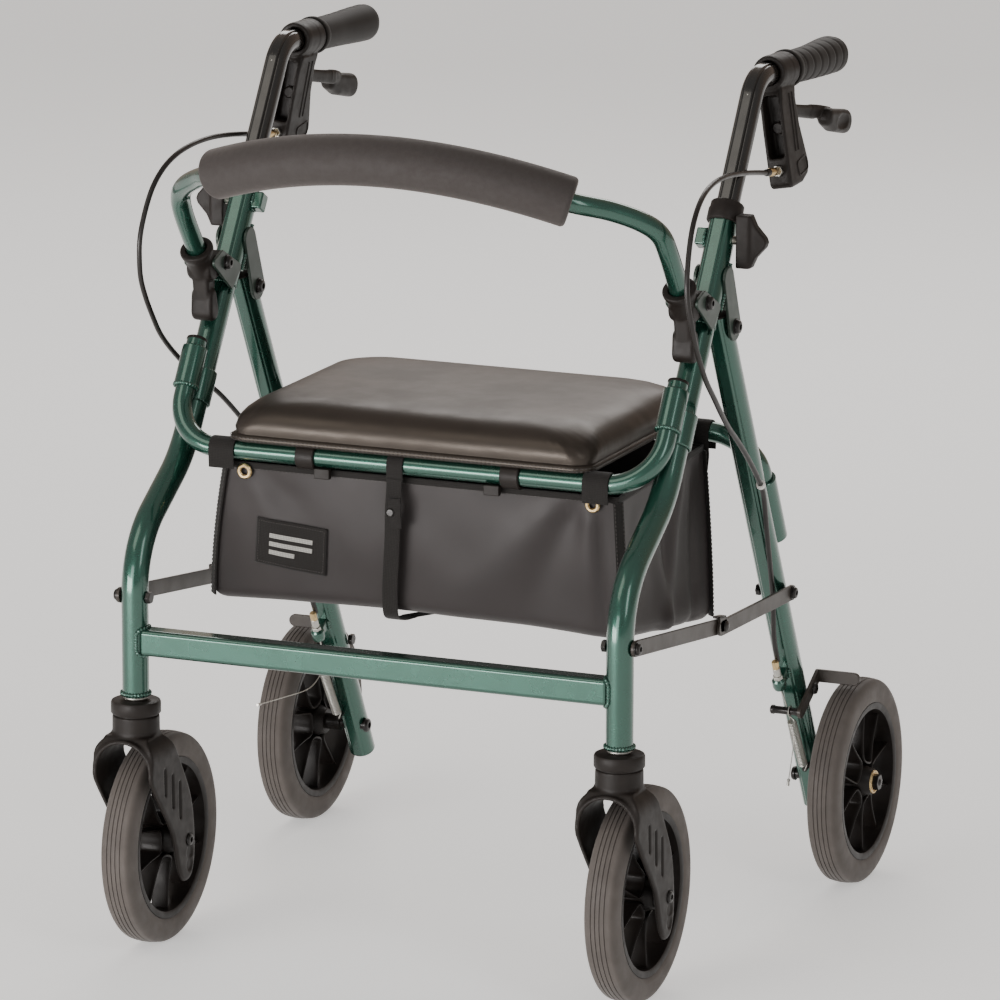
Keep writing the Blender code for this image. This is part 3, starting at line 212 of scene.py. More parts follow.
class Look:
    """A material under construction: its node tree and shader, with helpers that add to them."""

    def __init__(self, name, colour, roughness, metallic=0.0):
        self.material = bpy.data.materials.new(name)
        self.material.use_nodes = True
        self.tree = self.material.node_tree
        self.shader = self.tree.nodes["Principled BSDF"]
        self.set("Base Color", (*colour, 1))
        self.set("Roughness", roughness)
        self.set("Metallic", metallic)
        self.colour = colour
        self.height = None

    def set(self, socket, value):
        self.shader.inputs[socket].default_value = value
        return self

    def node(self, kind, **values):
        made = self.tree.nodes.new(kind)
        for key, value in values.items():
            setattr(made, key, value)
        return made

    def link(self, out, into):
        self.tree.links.new(out, into)

    def coordinates(self, source="Object"):
        return self.node("ShaderNodeTexCoord").outputs[source]

    def noise(self, scale, detail=4.0):
        texture = self.node("ShaderNodeTexNoise")
        texture.inputs["Scale"].default_value = scale
        texture.inputs["Detail"].default_value = detail
        texture.inputs["Roughness"].default_value = 0.55
        self.link(self.coordinates(), texture.inputs["Vector"])
        return texture.outputs["Fac"]

    def cells(self, scale, feature="F1"):
        texture = self.node("ShaderNodeTexVoronoi")
        texture.feature = feature
        texture.inputs["Scale"].default_value = scale
        self.link(self.coordinates(), texture.inputs["Vector"])
        return texture.outputs["Distance"]

    def weave(self, pitch):
        """Threads over and under, at this pitch in metres."""
        mix = self.node("ShaderNodeMath", operation="MULTIPLY")
        for index, direction in enumerate(("X", "Y")):
            wave = self.node("ShaderNodeTexWave")
            wave.bands_direction = direction
            wave.inputs["Scale"].default_value = 0.314 / pitch
            wave.inputs["Distortion"].default_value = 0.3
            self.link(self.coordinates("UV"), wave.inputs["Vector"])
            self.link(wave.outputs["Fac"], mix.inputs[index])
        return mix.outputs["Value"]

    def vary(self, socket, fac, low, high):
        """Drives a number between two values by a texture."""
        ramp = self.node("ShaderNodeMapRange")
        ramp.inputs["From Min"].default_value = 0.35
        ramp.inputs["From Max"].default_value = 0.65
        ramp.inputs["To Min"].default_value = low
        ramp.inputs["To Max"].default_value = high
        self.link(fac, ramp.inputs["Value"])
        self.link(ramp.outputs["Result"], self.shader.inputs[socket])
        return self

    def tint(self, fac, dark, light, spread=(0.35, 0.65)):
        """Mixes the base colour between two multiples of itself by a texture."""
        ramp = self.node("ShaderNodeValToRGB")
        ramp.color_ramp.elements[0].position = spread[0]
        ramp.color_ramp.elements[1].position = spread[1]
        ramp.color_ramp.elements[0].color = (*[min(1, c * dark) for c in self.colour], 1)
        ramp.color_ramp.elements[1].color = (*[min(1, c * light) for c in self.colour], 1)
        self.link(fac, ramp.inputs["Fac"])
        self.link(ramp.outputs["Color"], self.shader.inputs["Base Color"])
        return self

    def bump(self, fac, depth, strength=1.0):
        """Adds relief of this depth in metres."""
        step = self.node("ShaderNodeBump")
        step.inputs["Strength"].default_value = strength
        step.inputs["Distance"].default_value = depth
        self.link(fac, step.inputs["Height"])
        if self.height:
            self.link(self.height, step.inputs["Normal"])
        self.height = step.outputs["Normal"]
        self.link(self.height, self.shader.inputs["Normal"])
        return self


def make_enamel():
    look = Look("green_metallic_enamel", (0.017, 0.078, 0.054), 0.26, 0.72)
    look.set("Coat Weight", 0.85).set("Coat IOR", 1.6).set("Coat Roughness", 0.10)
    look.tint(look.noise(2600, 2), 0.82, 1.25, (0.4, 0.6))
    look.vary("Roughness", look.noise(35), 0.23, 0.31)
    look.bump(look.noise(420, 2), 0.00002, 0.3)
    look.bump(look.cells(3000), 0.000006, 0.4)
    return look.material


def make_plastic(name, colour, rough, grain=1500, depth=0.00003, shine=0.24):
    look = Look(name, colour, rough)
    look.set("Specular IOR Level", shine)
    look.tint(look.noise(60), 0.9, 1.12)
    look.vary("Roughness", look.noise(90), rough - 0.05, rough + 0.06)
    look.bump(look.cells(grain), depth, 0.4)
    look.bump(look.noise(260), 0.00003, 0.2)
    return look.material


def make_painted(name, colour, rough):
    look = Look(name, colour, rough, 0.2)
    look.set("Coat Weight", 0.15).set("Coat Roughness", 0.2).set("Specular IOR Level", 0.4)
    look.tint(look.noise(60), 0.92, 1.1)
    look.vary("Roughness", look.noise(50), rough - 0.04, rough + 0.05)
    look.bump(look.noise(900, 2), 0.000012, 0.4)
    return look.material


def make_gloss_black():
    look = Look("gloss_black_tube", (0.0085, 0.0068, 0.0055), 0.20, 0.1)
    look.set("Coat Weight", 0.5).set("Coat Roughness", 0.06)
    look.vary("Roughness", look.noise(60), 0.15, 0.25)
    look.tint(look.noise(400), 0.9, 1.15)
    look.bump(look.noise(380, 2), 0.00001, 0.4)
    return look.material


def make_tyre_rubber():
    look = Look("grey_tyre_rubber", (0.088, 0.075, 0.067), 0.66)
    look.set("Specular IOR Level", 0.35).set("Sheen Weight", 0.08)
    look.tint(look.noise(38), 0.90, 1.10)
    look.vary("Roughness", look.noise(70), 0.58, 0.76)
    look.bump(look.noise(1300, 3), 0.00004, 0.4)
    look.bump(look.noise(120), 0.00008, 0.2)
    return look.material


def make_vinyl():
    look = Look("grained_vinyl", (0.0150, 0.0110, 0.0088), 0.40)
    look.set("Specular IOR Level", 0.60).set("Specular Tint", (1.0, 0.88, 0.77, 1))
    look.tint(look.noise(30), 0.88, 1.15)
    look.vary("Roughness", look.noise(22), 0.36, 0.47)
    look.bump(look.cells(620, "SMOOTH_F1"), 0.00009, 0.4)
    look.bump(look.noise(900), 0.00003, 0.35)
    look.bump(look.noise(14, 2), 0.0008, 0.25)
    return look.material


def make_nylon():
    look = Look("bag_coated_nylon", (0.030, 0.0250, 0.0245), 0.46)
    look.set("Specular IOR Level", 0.30).set("Sheen Weight", 0.05).set("Sheen Roughness", 0.4)
    look.tint(look.noise(9, 2), 0.92, 1.08)
    look.vary("Roughness", look.noise(12, 2), 0.42, 0.52)
    look.bump(look.weave(0.0011), 0.00007, 0.5)
    look.bump(look.noise(24, 2), 0.0008, 0.18)
    return look.material


def make_webbing(name, colour):
    look = Look(name, colour, 0.78)
    look.set("Sheen Weight", 0.12).set("Specular IOR Level", 0.3)
    look.tint(look.weave(0.0016), 0.6, 1.3, (0.1, 0.9))
    look.bump(look.weave(0.0016), 0.00022, 0.7)
    look.bump(look.noise(2200, 2), 0.00004, 0.5)
    return look.material


def make_foam():
    look = Look("closed_cell_foam", (0.030, 0.0238, 0.0218), 0.72)
    look.set("Specular IOR Level", 0.45)
    look.set("Sheen Weight", 0.22).set("Sheen Roughness", 0.5).set("Sheen Tint", (0.85, 0.78, 0.74, 1))
    look.tint(look.noise(900), 0.92, 1.08)
    look.vary("Roughness", look.noise(160), 0.66, 0.78)
    look.bump(look.cells(2400), 0.00005, 0.45)
    look.bump(look.noise(90, 3), 0.00012, 0.12)
    return look.material


def make_grip_rubber():
    look = Look("moulded_grip_rubber", (0.0115, 0.0090, 0.0072), 0.62)
    look.set("Sheen Weight", 0.06).set("Specular IOR Level", 0.32)
    look.tint(look.noise(80), 0.88, 1.15)
    look.bump(look.cells(1100), 0.00007, 0.5)
    look.bump(look.noise(400), 0.00004, 0.35)
    return look.material


def make_metal(name, colour, rough):
    look = Look(name, colour, rough, 1.0)
    look.tint(look.noise(220), 0.9, 1.06)
    look.vary("Roughness", look.noise(440), rough - 0.04, rough + 0.08)
    look.bump(look.noise(1100, 2), 0.00001, 0.4)
    return look.material


def make_floor_look():
    look = Look("pale_floor", (0.90, 0.895, 0.885), 0.75)
    look.set("Emission Color", (1.0, 0.995, 0.985, 1)).set("Emission Strength", 0.50)
    look.vary("Roughness", look.noise(3), 0.7, 0.8)
    return look.material


def make_thread():
    look = Look("stitching", (0.040, 0.034, 0.031), 0.7)
    look.set("Sheen Weight", 0.15)
    look.tint(look.noise(1500), 0.8, 1.25)
    look.bump(look.noise(3000), 0.00004, 0.6)
    return look.material


ENAMEL = make_enamel()
PLASTIC = make_plastic("moulded_plastic", (0.0140, 0.0108, 0.0092), 0.46)
HUB_PLASTIC = make_plastic("hub_plastic", (0.0090, 0.0068, 0.0058), 0.40, 1100)
KNOB_PLASTIC = make_plastic("knob_plastic", (0.0155, 0.0118, 0.0102), 0.52, 900, 0.00005)
WHITE_PLASTIC = make_plastic("white_clip_plastic", (0.72, 0.70, 0.66), 0.5, shine=0.5)
BLACK_PAINT = make_painted("satin_paint", (0.036, 0.029, 0.024), 0.40)
BOLT_BLACK = make_painted("black_bolt", (0.0095, 0.0075, 0.0065), 0.32)
GLOSS_BLACK = make_gloss_black()
TYRE = make_tyre_rubber()
VINYL = make_vinyl()
NYLON = make_nylon()
WEBBING = make_webbing("black_webbing", (0.0098, 0.0076, 0.0064))
FOAM = make_foam()
GRIP = make_grip_rubber()
ZINC = make_metal("zinc_plate", (0.55, 0.54, 0.50), 0.34)
BRASS = make_metal("brass", (0.62, 0.46, 0.24), 0.28)
CABLE_SHEATH = make_plastic("vinyl_sheath", (0.0115, 0.0090, 0.0078), 0.34, 2600, 0.00001, 0.45)
FLOOR = make_floor_look()
THREAD = make_thread()
PATCH_THREAD = make_webbing("patch_thread", (0.42, 0.41, 0.38))
PLATE = make_painted("green_plate", (0.030, 0.048, 0.037), 0.42)


# Building blocks


def mirrored(point, side):
    return Vector((side * point[0], point[1], point[2]))


def across(offset, side, point):
    """A place at this distance outward of the leg plane, at the point's Y and Z."""
    return Vector((side * (LEG_X + offset), point[1], point[2]))


def finish_piece(name, mesh, material, body, smooth=35):
    piece = bpy.data.objects.new(name, mesh)
    bpy.context.scene.collection.objects.link(piece)
    mesh.materials.clear()
    mesh.materials.append(material)
    if smooth is not None:
        mesh.shade_smooth()
        mesh.set_sharp_from_angle(angle=radians(smooth))
    if body:
        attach(piece, body)
    return piece


def from_bmesh(name, bm, material, body, smooth=35):
    mesh = bpy.data.meshes.new(name)
    bmesh.ops.recalc_face_normals(bm, faces=bm.faces)
    bm.to_mesh(mesh)
    bm.free()
    return finish_piece(name, mesh, material, body, smooth)


def unit_along(points, index):
    """The direction of the route at one of its points."""
    before = points[max(0, index - 1)]
    after = points[min(len(points) - 1, index + 1)]
    return (after - before).normalized()


def route_frames(points, reference, closed=False):
    """(sideways, upward) for each point: square to the route, and turning as little as they can."""
    frames = []
    count = len(points)
    side = None
    for index in range(count):
        if closed:
            run = (points[(index + 1) % count] - points[index - 1]).normalized()
        else:
            run = unit_along(points, index)
        guess = reference if reference is not None else side
        if guess is None:
            guess = X_AXIS if abs(run.x) < 0.8 else Z_AXIS
        side = (guess - run * guess.dot(run)).normalized()
        frames.append((side, run.cross(side)))
    return frames


def sweep(name, points, section, material, body, reference=None, scale=None, closed=False, smooth=40):
    """The section carried along the route. scale(length, angle) can change its size from place to place."""
    frames = route_frames(points, reference, closed)
    bm = bmesh.new()
    uv_layer = bm.loops.layers.uv.new("UVMap")
    rings = []
    lengths = [0.0]
    for first, second in zip(points, points[1:]):
        lengths.append(lengths[-1] + (second - first).length)
    for point, (side, up), length in zip(points, frames, lengths):
        ring = []
        for a, b in section:
            factor = scale(length, atan2(b, a)) if scale else 1.0
            ring.append(bm.verts.new(point + side * (a * factor) + up * (b * factor)))
        rings.append(ring)
    edge = [0.0]
    for first, second in zip(section, section[1:] + section[:1]):
        edge.append(edge[-1] + hypot(second[0] - first[0], second[1] - first[1]))
    pairs = list(zip(rings, rings[1:], lengths, lengths[1:]))
    if closed:
        pairs.append((rings[-1], rings[0], lengths[-1], lengths[-1] + (points[0] - points[-1]).length))
    count = len(section)
    for low, high, start, end in pairs:
        for k in range(count):
            n = (k + 1) % count
            face = bm.faces.new((low[k], low[n], high[n], high[k]))
            for loop, place in zip(
                face.loops, ((start, edge[k]), (start, edge[k + 1]), (end, edge[k + 1]), (end, edge[k]))
            ):
                loop[uv_layer].uv = place
    if not closed:
        bm.faces.new(list(reversed(rings[0])))
        bm.faces.new(rings[-1])
    return from_bmesh(name, bm, material, body, smooth)


def circle(radius, count=32):
    return [(radius * cos(2 * pi * k / count), radius * sin(2 * pi * k / count)) for k in range(count)]


def oval(half_a, half_b, count=40, power=2.0):
    """A superellipse; power 2 is an ellipse, and a higher power has flatter sides."""
    points = []
    for k in range(count):
        angle = 2 * pi * k / count
        c, s = cos(angle), sin(angle)
        points.append((
            half_a * abs(c) ** (2 / power) * (1 if c >= 0 else -1),
            half_b * abs(s) ** (2 / power) * (1 if s >= 0 else -1),
        ))
    return points


def bent_route(corners, radii, step=radians(4)):
    """Straight runs between the corners, with an arc of the given radius at each inner corner."""
    route = [Vector(corners[0])]
    for before, corner, after, radius in zip(corners, corners[1:], corners[2:], radii):
        coming = (corner - before).normalized()
        going = (after - corner).normalized()
        turn = acos(max(-1, min(1, coming.dot(going))))
        reach = radius * tan(turn / 2)
        start = corner - coming * reach
        centre = corner + (going - coming).normalized() * (radius / cos(turn / 2))
        axis = coming.cross(going).normalized()
        count = max(2, round(turn / step))
        for k in range(count + 1):
            spin = Matrix.Rotation(turn * k / count, 3, axis)
            route.append(centre + spin @ (start - centre))
    route.append(Vector(corners[-1]))
    return route


def smooth_route(points, pieces):
    points = [Vector(point) for point in points]
    ends = [points[0] * 2 - points[1], *points, points[-1] * 2 - points[-2]]
    route = []
    for a, b, c, d in zip(ends, ends[1:], ends[2:], ends[3:]):
        for k in range(pieces):
            t = k / pieces
            route.append(
                0.5 * (2 * b + (c - a) * t + (2 * a - 5 * b + 4 * c - d) * t**2
                       + (3 * b - a - 3 * c + d) * t**3)
            )
    route.append(points[-1])
    return route


def refined(points, step):
    """The same route with a point at least every step."""
    route = []
    for first, second in zip(points, points[1:]):
        count = max(1, ceil((second - first).length / step))
        route += [first.lerp(second, k / count) for k in range(count)]
    route.append(points[-1])
    return route


def along(start, direction):
    """The placing matrix whose Z axis runs along the direction."""
    turn = Vector(direction).to_track_quat("Z", "Y").to_matrix().to_4x4()
    return Matrix.Translation(Vector(start)) @ turn


def lathe(name, profile, place, material, body, steps=64, smooth=35):
    """A turned piece from (radius, height) pairs that run down its outer side, top to bottom."""
    bm = bmesh.new()
    uv_layer = bm.loops.layers.uv.new("UVMap")
    rings = []
    for radius, height in profile:
        if radius < 1e-7:
            rings.append([bm.verts.new((0, 0, height))])
        else:
            rings.append([
                bm.verts.new((radius * cos(2 * pi * k / steps), radius * sin(2 * pi * k / steps), height))
                for k in range(steps)
            ])
    run = 0.0
    for (upper, lower), ((ra, ha), (rb, hb)) in zip(zip(rings, rings[1:]), zip(profile, profile[1:])):
        step = hypot(rb - ra, hb - ha)
        for k in range(steps):
            n = (k + 1) % steps
            if len(upper) == 1 and len(lower) == 1:
                continue
            if len(upper) == 1:
                face = bm.faces.new((upper[0], lower[k], lower[n]))
            elif len(lower) == 1:
                face = bm.faces.new((upper[k], lower[0], upper[n]))
            else:
                face = bm.faces.new((upper[k], lower[k], lower[n], upper[n]))
            for loop in face.loops:
                first = loop.vert in (upper[k % len(upper)], lower[k % len(lower)])
                angle = 2 * pi * (k if first else k + 1) / steps
                depth = run if loop.vert in upper else run + step
                loop[uv_layer].uv = (angle * max(ra, rb), depth)
        run += step
    bm.transform(place)
    return from_bmesh(name, bm, material, body, smooth)


def ring_profile(points):
    """A turned ring's closed profile."""
    return [*points, points[0]]


def disc_hull(*discs, count=32):
    """The outline drawn tight around discs, each given as two coordinates and a radius."""
    points = []
    for a, b, radius in discs:
        points += [(a + x, b + y) for x, y in circle(radius, count)]
    return [points[k] for k in convex_hull_2d(points)]


def side_frame(x):
    """The frame whose XY plane is the world's YZ plane at this X."""
    return Matrix(((0, 0, 1, x), (1, 0, 0, 0), (0, 1, 0, 0), (0, 0, 0, 1)))


def prism(name, outline, thickness, place, material, body, bevel=0.0007, segments=3):
    """A flat piece of the outline in the placing matrix's XY plane, centred on it, with soft edges."""
    bm = bmesh.new()
    base = [bm.verts.new((a, b, -thickness / 2)) for a, b in outline]
    top = [bm.verts.new((a, b, thickness / 2)) for a, b in outline]
    bm.faces.new(base)
    bm.faces.new(list(reversed(top)))
    for k in range(len(outline)):
        n = (k + 1) % len(outline)
        bm.faces.new((base[k], base[n], top[n], top[k]))
    bm.transform(place)
    piece = from_bmesh(name, bm, material, None)
    soften(piece, bevel, segments)
    if body:
        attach(piece, body)
    return piece


def soften(piece, bevel, segments=3):
    if bevel:
        rounding = piece.modifiers.new("rounding", "BEVEL")
        rounding.width = bevel
        rounding.segments = segments
        rounding.limit_method = "ANGLE"
        rounding.angle_limit = radians(40)
        rounding.harden_normals = True


def side_prism(name, outline, side, low, high, material, body, bevel=0.0007, segments=3):
    """A plate in the YZ plane, between two distances outward of the leg plane."""
    place = side_frame(side * (LEG_X + (low + high) / 2))
    return prism(name, outline, abs(high - low), place, material, body, bevel, segments)


def block(name, low, high, material, body, bevel=0.0008, segments=3):
    low = Vector(low)
    high = Vector(high)
    bm = bmesh.new()
    bmesh.ops.create_cube(bm, size=1)
    size = [abs(reach) for reach in high - low]
    bm.transform(Matrix.Translation((low + high) / 2) @ Matrix.Diagonal((*size, 1)))
    piece = from_bmesh(name, bm, material, None)
    soften(piece, bevel, segments)
    if body:
        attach(piece, body)
    return piece


def baked(piece):
    """Turns the piece's modifiers into its mesh."""
    bpy.context.view_layer.update()
    evaluated = piece.evaluated_get(bpy.context.evaluated_depsgraph_get())
    mesh = bpy.data.meshes.new_from_object(evaluated)
    piece.modifiers.clear()
    piece.data = mesh
    return piece


def thicken(piece, thickness, offset):
    """Gives an open sheet its thickness; offset -1 grows it inward, 0 to both sides."""
    wall = piece.modifiers.new("wall", "SOLIDIFY")
    wall.thickness = thickness
    wall.offset = offset
    baked(piece)


def lifted(place, height):
    """The placing matrix moved along its own Z axis."""
    return place @ Matrix.Translation((0, 0, height))


def joined(name, pieces, body):
    """One piece from several, each with its modifiers applied and its materials kept."""
    bm = bmesh.new()
    materials = []
    for piece in pieces:
        baked(piece)
        start = len(bm.faces)
        bm.from_mesh(piece.data)
        bm.faces.ensure_lookup_table()
        material = piece.data.materials[0]
        if material not in materials:
            materials.append(material)
        slot = materials.index(material)
        for face in bm.faces[start:]:
            face.material_index = slot
    mesh = bpy.data.meshes.new(name)
    bm.to_mesh(mesh)
    bm.free()
    for material in materials:
        mesh.materials.append(material)
    for piece in pieces:
        bpy.data.objects.remove(piece, do_unlink=True)
    whole = bpy.data.objects.new(name, mesh)
    bpy.context.scene.collection.objects.link(whole)
    if body:
        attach(whole, body)
    return whole


def screw_head(name, place, radius, height, material, body):
    """A domed screw head with a hollow socket."""
    profile = [
        (0, height * 0.45),
        (radius * 0.40, height * 0.45),
        (radius * 0.44, height * 0.98),
        (radius * 0.62, height),
        (radius * 0.86, height * 0.86),
        (radius * 0.98, height * 0.55),
        (radius, height * 0.2),
        (radius, 0),
        (0, 0),
    ]
    return lathe(name, profile, place, material, body, 32)


def hex_nut(name, place, radius, height, material, body):
    return prism(name, circle(radius, 6), height, lifted(place, height / 2), material, body, 0.0005, 2)


def weld(name, points, radius, body, reference=None, closed=False, seed=0):
    """A bead of weld along the route, with the ripples that its puddles leave."""
    random = Random(seed)
    phase = random.random() * 6

    def ripple(length, angle):
        return 1 + 0.16 * sin(length * 2 * pi / 0.0028 + phase) + 0.07 * sin(length * 900 + angle * 2)

    return sweep(name, refined(points, 0.0006), circle(radius, 12), ENAMEL, body, reference, ripple, closed)


def ring_points(centre, direction, radius, count):
    """Points on a circle round the direction."""
    place = along(centre, direction)
    return [place @ Vector((a, b, 0)) for a, b in circle(radius, count)]


# Where the tubes run


def leg_y(z):
    return LEG_LEAN_Y + LEG_LEAN * (z - LEG_LEAN_Z)


def rear_leg_y(z):
    return PIVOT.y + REAR_LEG_LEAN * (z - PIVOT.z)


LEG_UP = Vector((0, LEG_LEAN, 1)).normalized()
LEG_FORWARD = Vector((0, -LEG_UP.z, LEG_UP.y))
REAR_DOWN = Vector((0, -REAR_LEG_LEAN, -1)).normalized()
REAR_BACK = Vector((0, -REAR_DOWN.z, REAR_DOWN.y))


def leg_point(z):
    return Vector((0, leg_y(z), z))


def rear_leg_point(z):
    return Vector((0, rear_leg_y(z), z))


def rear_rail_point(z):
    drop = REAR_BACK * RAIL_OFFSET
    return Vector((0, rear_leg_y(z - drop.z) + drop.y, z))


def moulded(name, parts, voxel, material, body, cutters=(), relax=6):
    """One moulded piece: its parts flow together with small fillets, and the cutters leave hollows."""
    whole = joined(name, parts, None)
    remesh(whole, voxel)
    if cutters:
        for cutter in cutters:
            baked(cutter)
            step = whole.modifiers.new("cut", "BOOLEAN")
            step.operation = "DIFFERENCE"
            step.solver = "MANIFOLD"
            step.object = cutter
        baked(whole)
        for cutter in cutters:
            bpy.data.objects.remove(cutter, do_unlink=True)
        remesh(whole, voxel)
    relaxing = whole.modifiers.new("relax", "SMOOTH")
    relaxing.factor = 0.5
    relaxing.iterations = relax
    baked(whole)
    return finish_piece_again(whole, material, body)


def remesh(piece, voxel):
    step = piece.modifiers.new("remesh", "REMESH")
    step.mode = "VOXEL"
    step.voxel_size = voxel
    baked(piece)


def finish_piece_again(piece, material, body):
    mesh = piece.data
    mesh.materials.clear()
    mesh.materials.append(material)
    mesh.shade_smooth()
    if body:
        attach(piece, body)
    return piece


def stitches(name, route, pitch, length, radius, material, body, closed=False):
    """A row of thread stitches along the route."""
    route = [*route, route[0]] if closed else route
    bm = bmesh.new()
    travelled = 0.0
    due = pitch / 2
    for first, second in zip(route, route[1:]):
        reach = (second - first).length
        while due <= travelled + reach and reach > 0:
            centre = first.lerp(second, (due - travelled) / reach)
            place = along(centre, second - first) @ Matrix.Diagonal((radius, radius, length / 2, 1))
            bmesh.ops.create_uvsphere(bm, u_segments=6, v_segments=4, radius=1, matrix=place)
            due += pitch
        travelled += reach
    return from_bmesh(name, bm, material, body, 80)


# Frame


def make_leg(name, side):
    leg_corners = [
        across(0, side, (0, STEM_Y, 0.2507)),
        across(0, side, (0, STEM_Y, 0.3947)),
        across(0, side, leg_point(0.460)),
        across(0, side, leg_point(LEG_TOP_Z)),
    ]
    route = bent_route(leg_corners, (0.085, 0.120), radians(2.5))
    leg = sweep(f"front_leg_{name}_tube", route, circle(LEG_RADIUS, 40), ENAMEL, "frame", X_AXIS)
    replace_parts(leg, f"front_leg_{name}")
    sleeve_route = [across(0, side, leg_point(z)) for z in (0.607, 0.6072, 0.6978, 0.698)]
    sweep(
        f"front_leg_{name}_sleeve",
        refined(sleeve_route, 0.004),
        grooved_oval(0.0135, 0.0143, 0.0009),
        ENAMEL,
        "frame",
        X_AXIS,
    )
    foot = Vector((side * LEG_X, STEM_Y, 0.2532))
    weld(f"foot_weld_{name}", ring_points(foot, Z_AXIS, 0.0127, 120), 0.0021, "frame", None, True, side)
    bead = ring_points(across(0, side, leg_point(0.6068)), LEG_UP, 0.0128, 120)
    weld(f"sleeve_weld_{name}", bead, 0.0009, "frame", None, True, 3 + side)
    lug = [(0.0068, 0.0085), (-0.0068, 0.0085), (-0.0068, -0.0085), (0.0068, -0.0085)]
    lug_place = Matrix.Translation(across(-0.0175, side, KNOB_CENTRE)) @ Matrix((
        (0, 0, 1, 0), (LEG_FORWARD.y, LEG_UP.y, 0, 0), (LEG_FORWARD.z, LEG_UP.z, 0, 0), (0, 0, 0, 1)
    ))
    prism(f"knob_boss_{name}", lug, 0.0105, lug_place, ENAMEL, "frame", 0.0018)
    ring = [
        across(-0.0133, side, KNOB_CENTRE + LEG_FORWARD * (0.0072 * cos(a)) + LEG_UP * (0.0092 * sin(a)))
        for a in [2 * pi * k / 60 for k in range(60)]
    ]
    weld(f"knob_boss_weld_{name}", ring, 0.0014, "frame", None, True, 6 + side)


def grooved_oval(half_a, half_b, groove):
    """An extruded section with a flatter front and back, each with a groove down both of its edges."""
    points = []
    count = 144
    for k in range(count):
        angle = 2 * pi * k / count
        facing = abs(sin(angle))
        chord = 0.93 / max(facing, 0.93)
        dip = 0.0
        for quarter in (pi / 2, 3 * pi / 2):
            for lean in (-0.55, 0.55):
                dip += exp(-(((angle - quarter - lean) / 0.075) ** 2))
        dip *= groove
        points.append(((half_a * chord - dip) * cos(angle), (half_b * chord - dip) * sin(angle)))
    return points


def make_leg_brackets(name, side):
    seat = leg_point(0.649) - LEG_FORWARD * 0.004
    outline = disc_hull((seat.y, seat.z, 0.0115), (PIVOT.y, PIVOT.z, 0.0135))
    front_outline = disc_hull(
        (-0.1240, 0.6375, 0.0045), (-0.1095, 0.6425, 0.0045), (-0.0735, 0.6245, 0.0040),
        (-0.0890, 0.6100, 0.0035)
    )
    pivot_plates = []
    front_plates = []
    for k, low, high in ((0, PLATE_INNER, PLATE_OUTER), (1, -PLATE_OUTER, -PLATE_INNER)):
        for label, shape, plates in (
            ("pivot", outline, pivot_plates), ("front", front_outline, front_plates)
        ):
            plates.append(side_prism(f"{label}_plate_{k}_{name}", shape, side, low, high, PLATE, None))
    web_low = leg_point(0.628) - LEG_FORWARD * 0.0155
    web_high = leg_point(0.652) - LEG_FORWARD * 0.0155
    web = disc_hull((web_low.y, web_low.z, 0.0024), (web_high.y, web_high.z, 0.0024))
    pivot_plates.append(side_prism(f"pivot_web_{name}", web, side, -0.014, 0.014, PLATE, None))
    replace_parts(joined(f"pivot_bracket_{name}_plates", pivot_plates, "frame"), f"pivot_bracket_{name}")
    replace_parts(joined(f"front_bracket_{name}_plates", front_plates, "frame"), f"front_bracket_{name}")
    for k, sign in ((0, 1), (1, -1)):
        bead_x = PLATE_INNER * sign
        rear = [
            across(bead_x, side, leg_point(0.622 + 0.004 * j) - LEG_FORWARD * 0.0058) for j in range(11)
        ]
        weld(f"pivot_weld_{k}_{name}", rear, 0.0019, "frame", X_AXIS, False, 10 + k + side)
        front = [
            across(bead_x, side, leg_point(0.598 + 0.004 * j) + LEG_FORWARD * 0.0062) for j in range(7)
        ]
        weld(f"front_weld_{k}_{name}", front, 0.0012, "frame", X_AXIS, False, 20 + k + side)
        for label, centre, radius, height in (
            ("pivot", PIVOT, 0.0066, 0.0050),
            ("socket", SOCKET_BOLT, 0.0062, 0.0050),
        ):
            place = along(across(PLATE_OUTER * sign, side, centre), (side * sign, 0, 0))
            washer = washer_profile(radius + 0.0012, 0.0008)
            lathe(f"{label}_washer_{k}_{name}", washer, place, BOLT_BLACK, "frame", 40)
            head = screw_head(
                f"{label}_bolt_{k}_{name}",
                lifted(place, 0.0007),
                radius,
                height - 0.0007,
                BOLT_BLACK,
                "frame",
            )
            if label == "pivot" and k == 0:
                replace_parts(head, f"leg_pivot_bolt_{name}")


def washer_profile(radius, height):
    return [(0, height), (radius * 0.97, height), (radius, height * 0.7), (radius, 0), (0, 0)]


def make_cross_bar():
    height = 0.0250
    depth = 0.0220
    centre_z = 0.304
    reach = LEG_X - 0.0085
    bar = block(
        "cross_bar",
        (-reach, STEM_Y - depth / 2, centre_z - height / 2),
        (reach, STEM_Y + depth / 2, centre_z + height / 2),
        ENAMEL,
        "frame",
        0.0042,
        5,
    )
    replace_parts(bar, "cross_tube")
    for name, side in SIDES.items():
        route = []
        for a, b in oval(depth / 2 + 0.0006, height / 2 + 0.0006, 90, 5):
            x = LEG_X - sqrt(max(0, (LEG_RADIUS + 0.0006) ** 2 - a * a))
            route.append(Vector((side * x, STEM_Y + a, centre_z + b)))
        weld(f"cross_bar_weld_{name}", route, 0.0018, "frame", None, True, 30 + side)


def make_rail(name, node, end, corner, body):
    bend = 0.048
    corners = [across(0, 1, end), across(0, 1, corner), across(0, -1, corner), across(0, -1, end)]
    route = bent_route(corners, (bend, bend), radians(3))
    rail = sweep(name, refined(route, 0.02), circle(RAIL_RADIUS, 36), ENAMEL, body)
    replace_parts(rail, node)


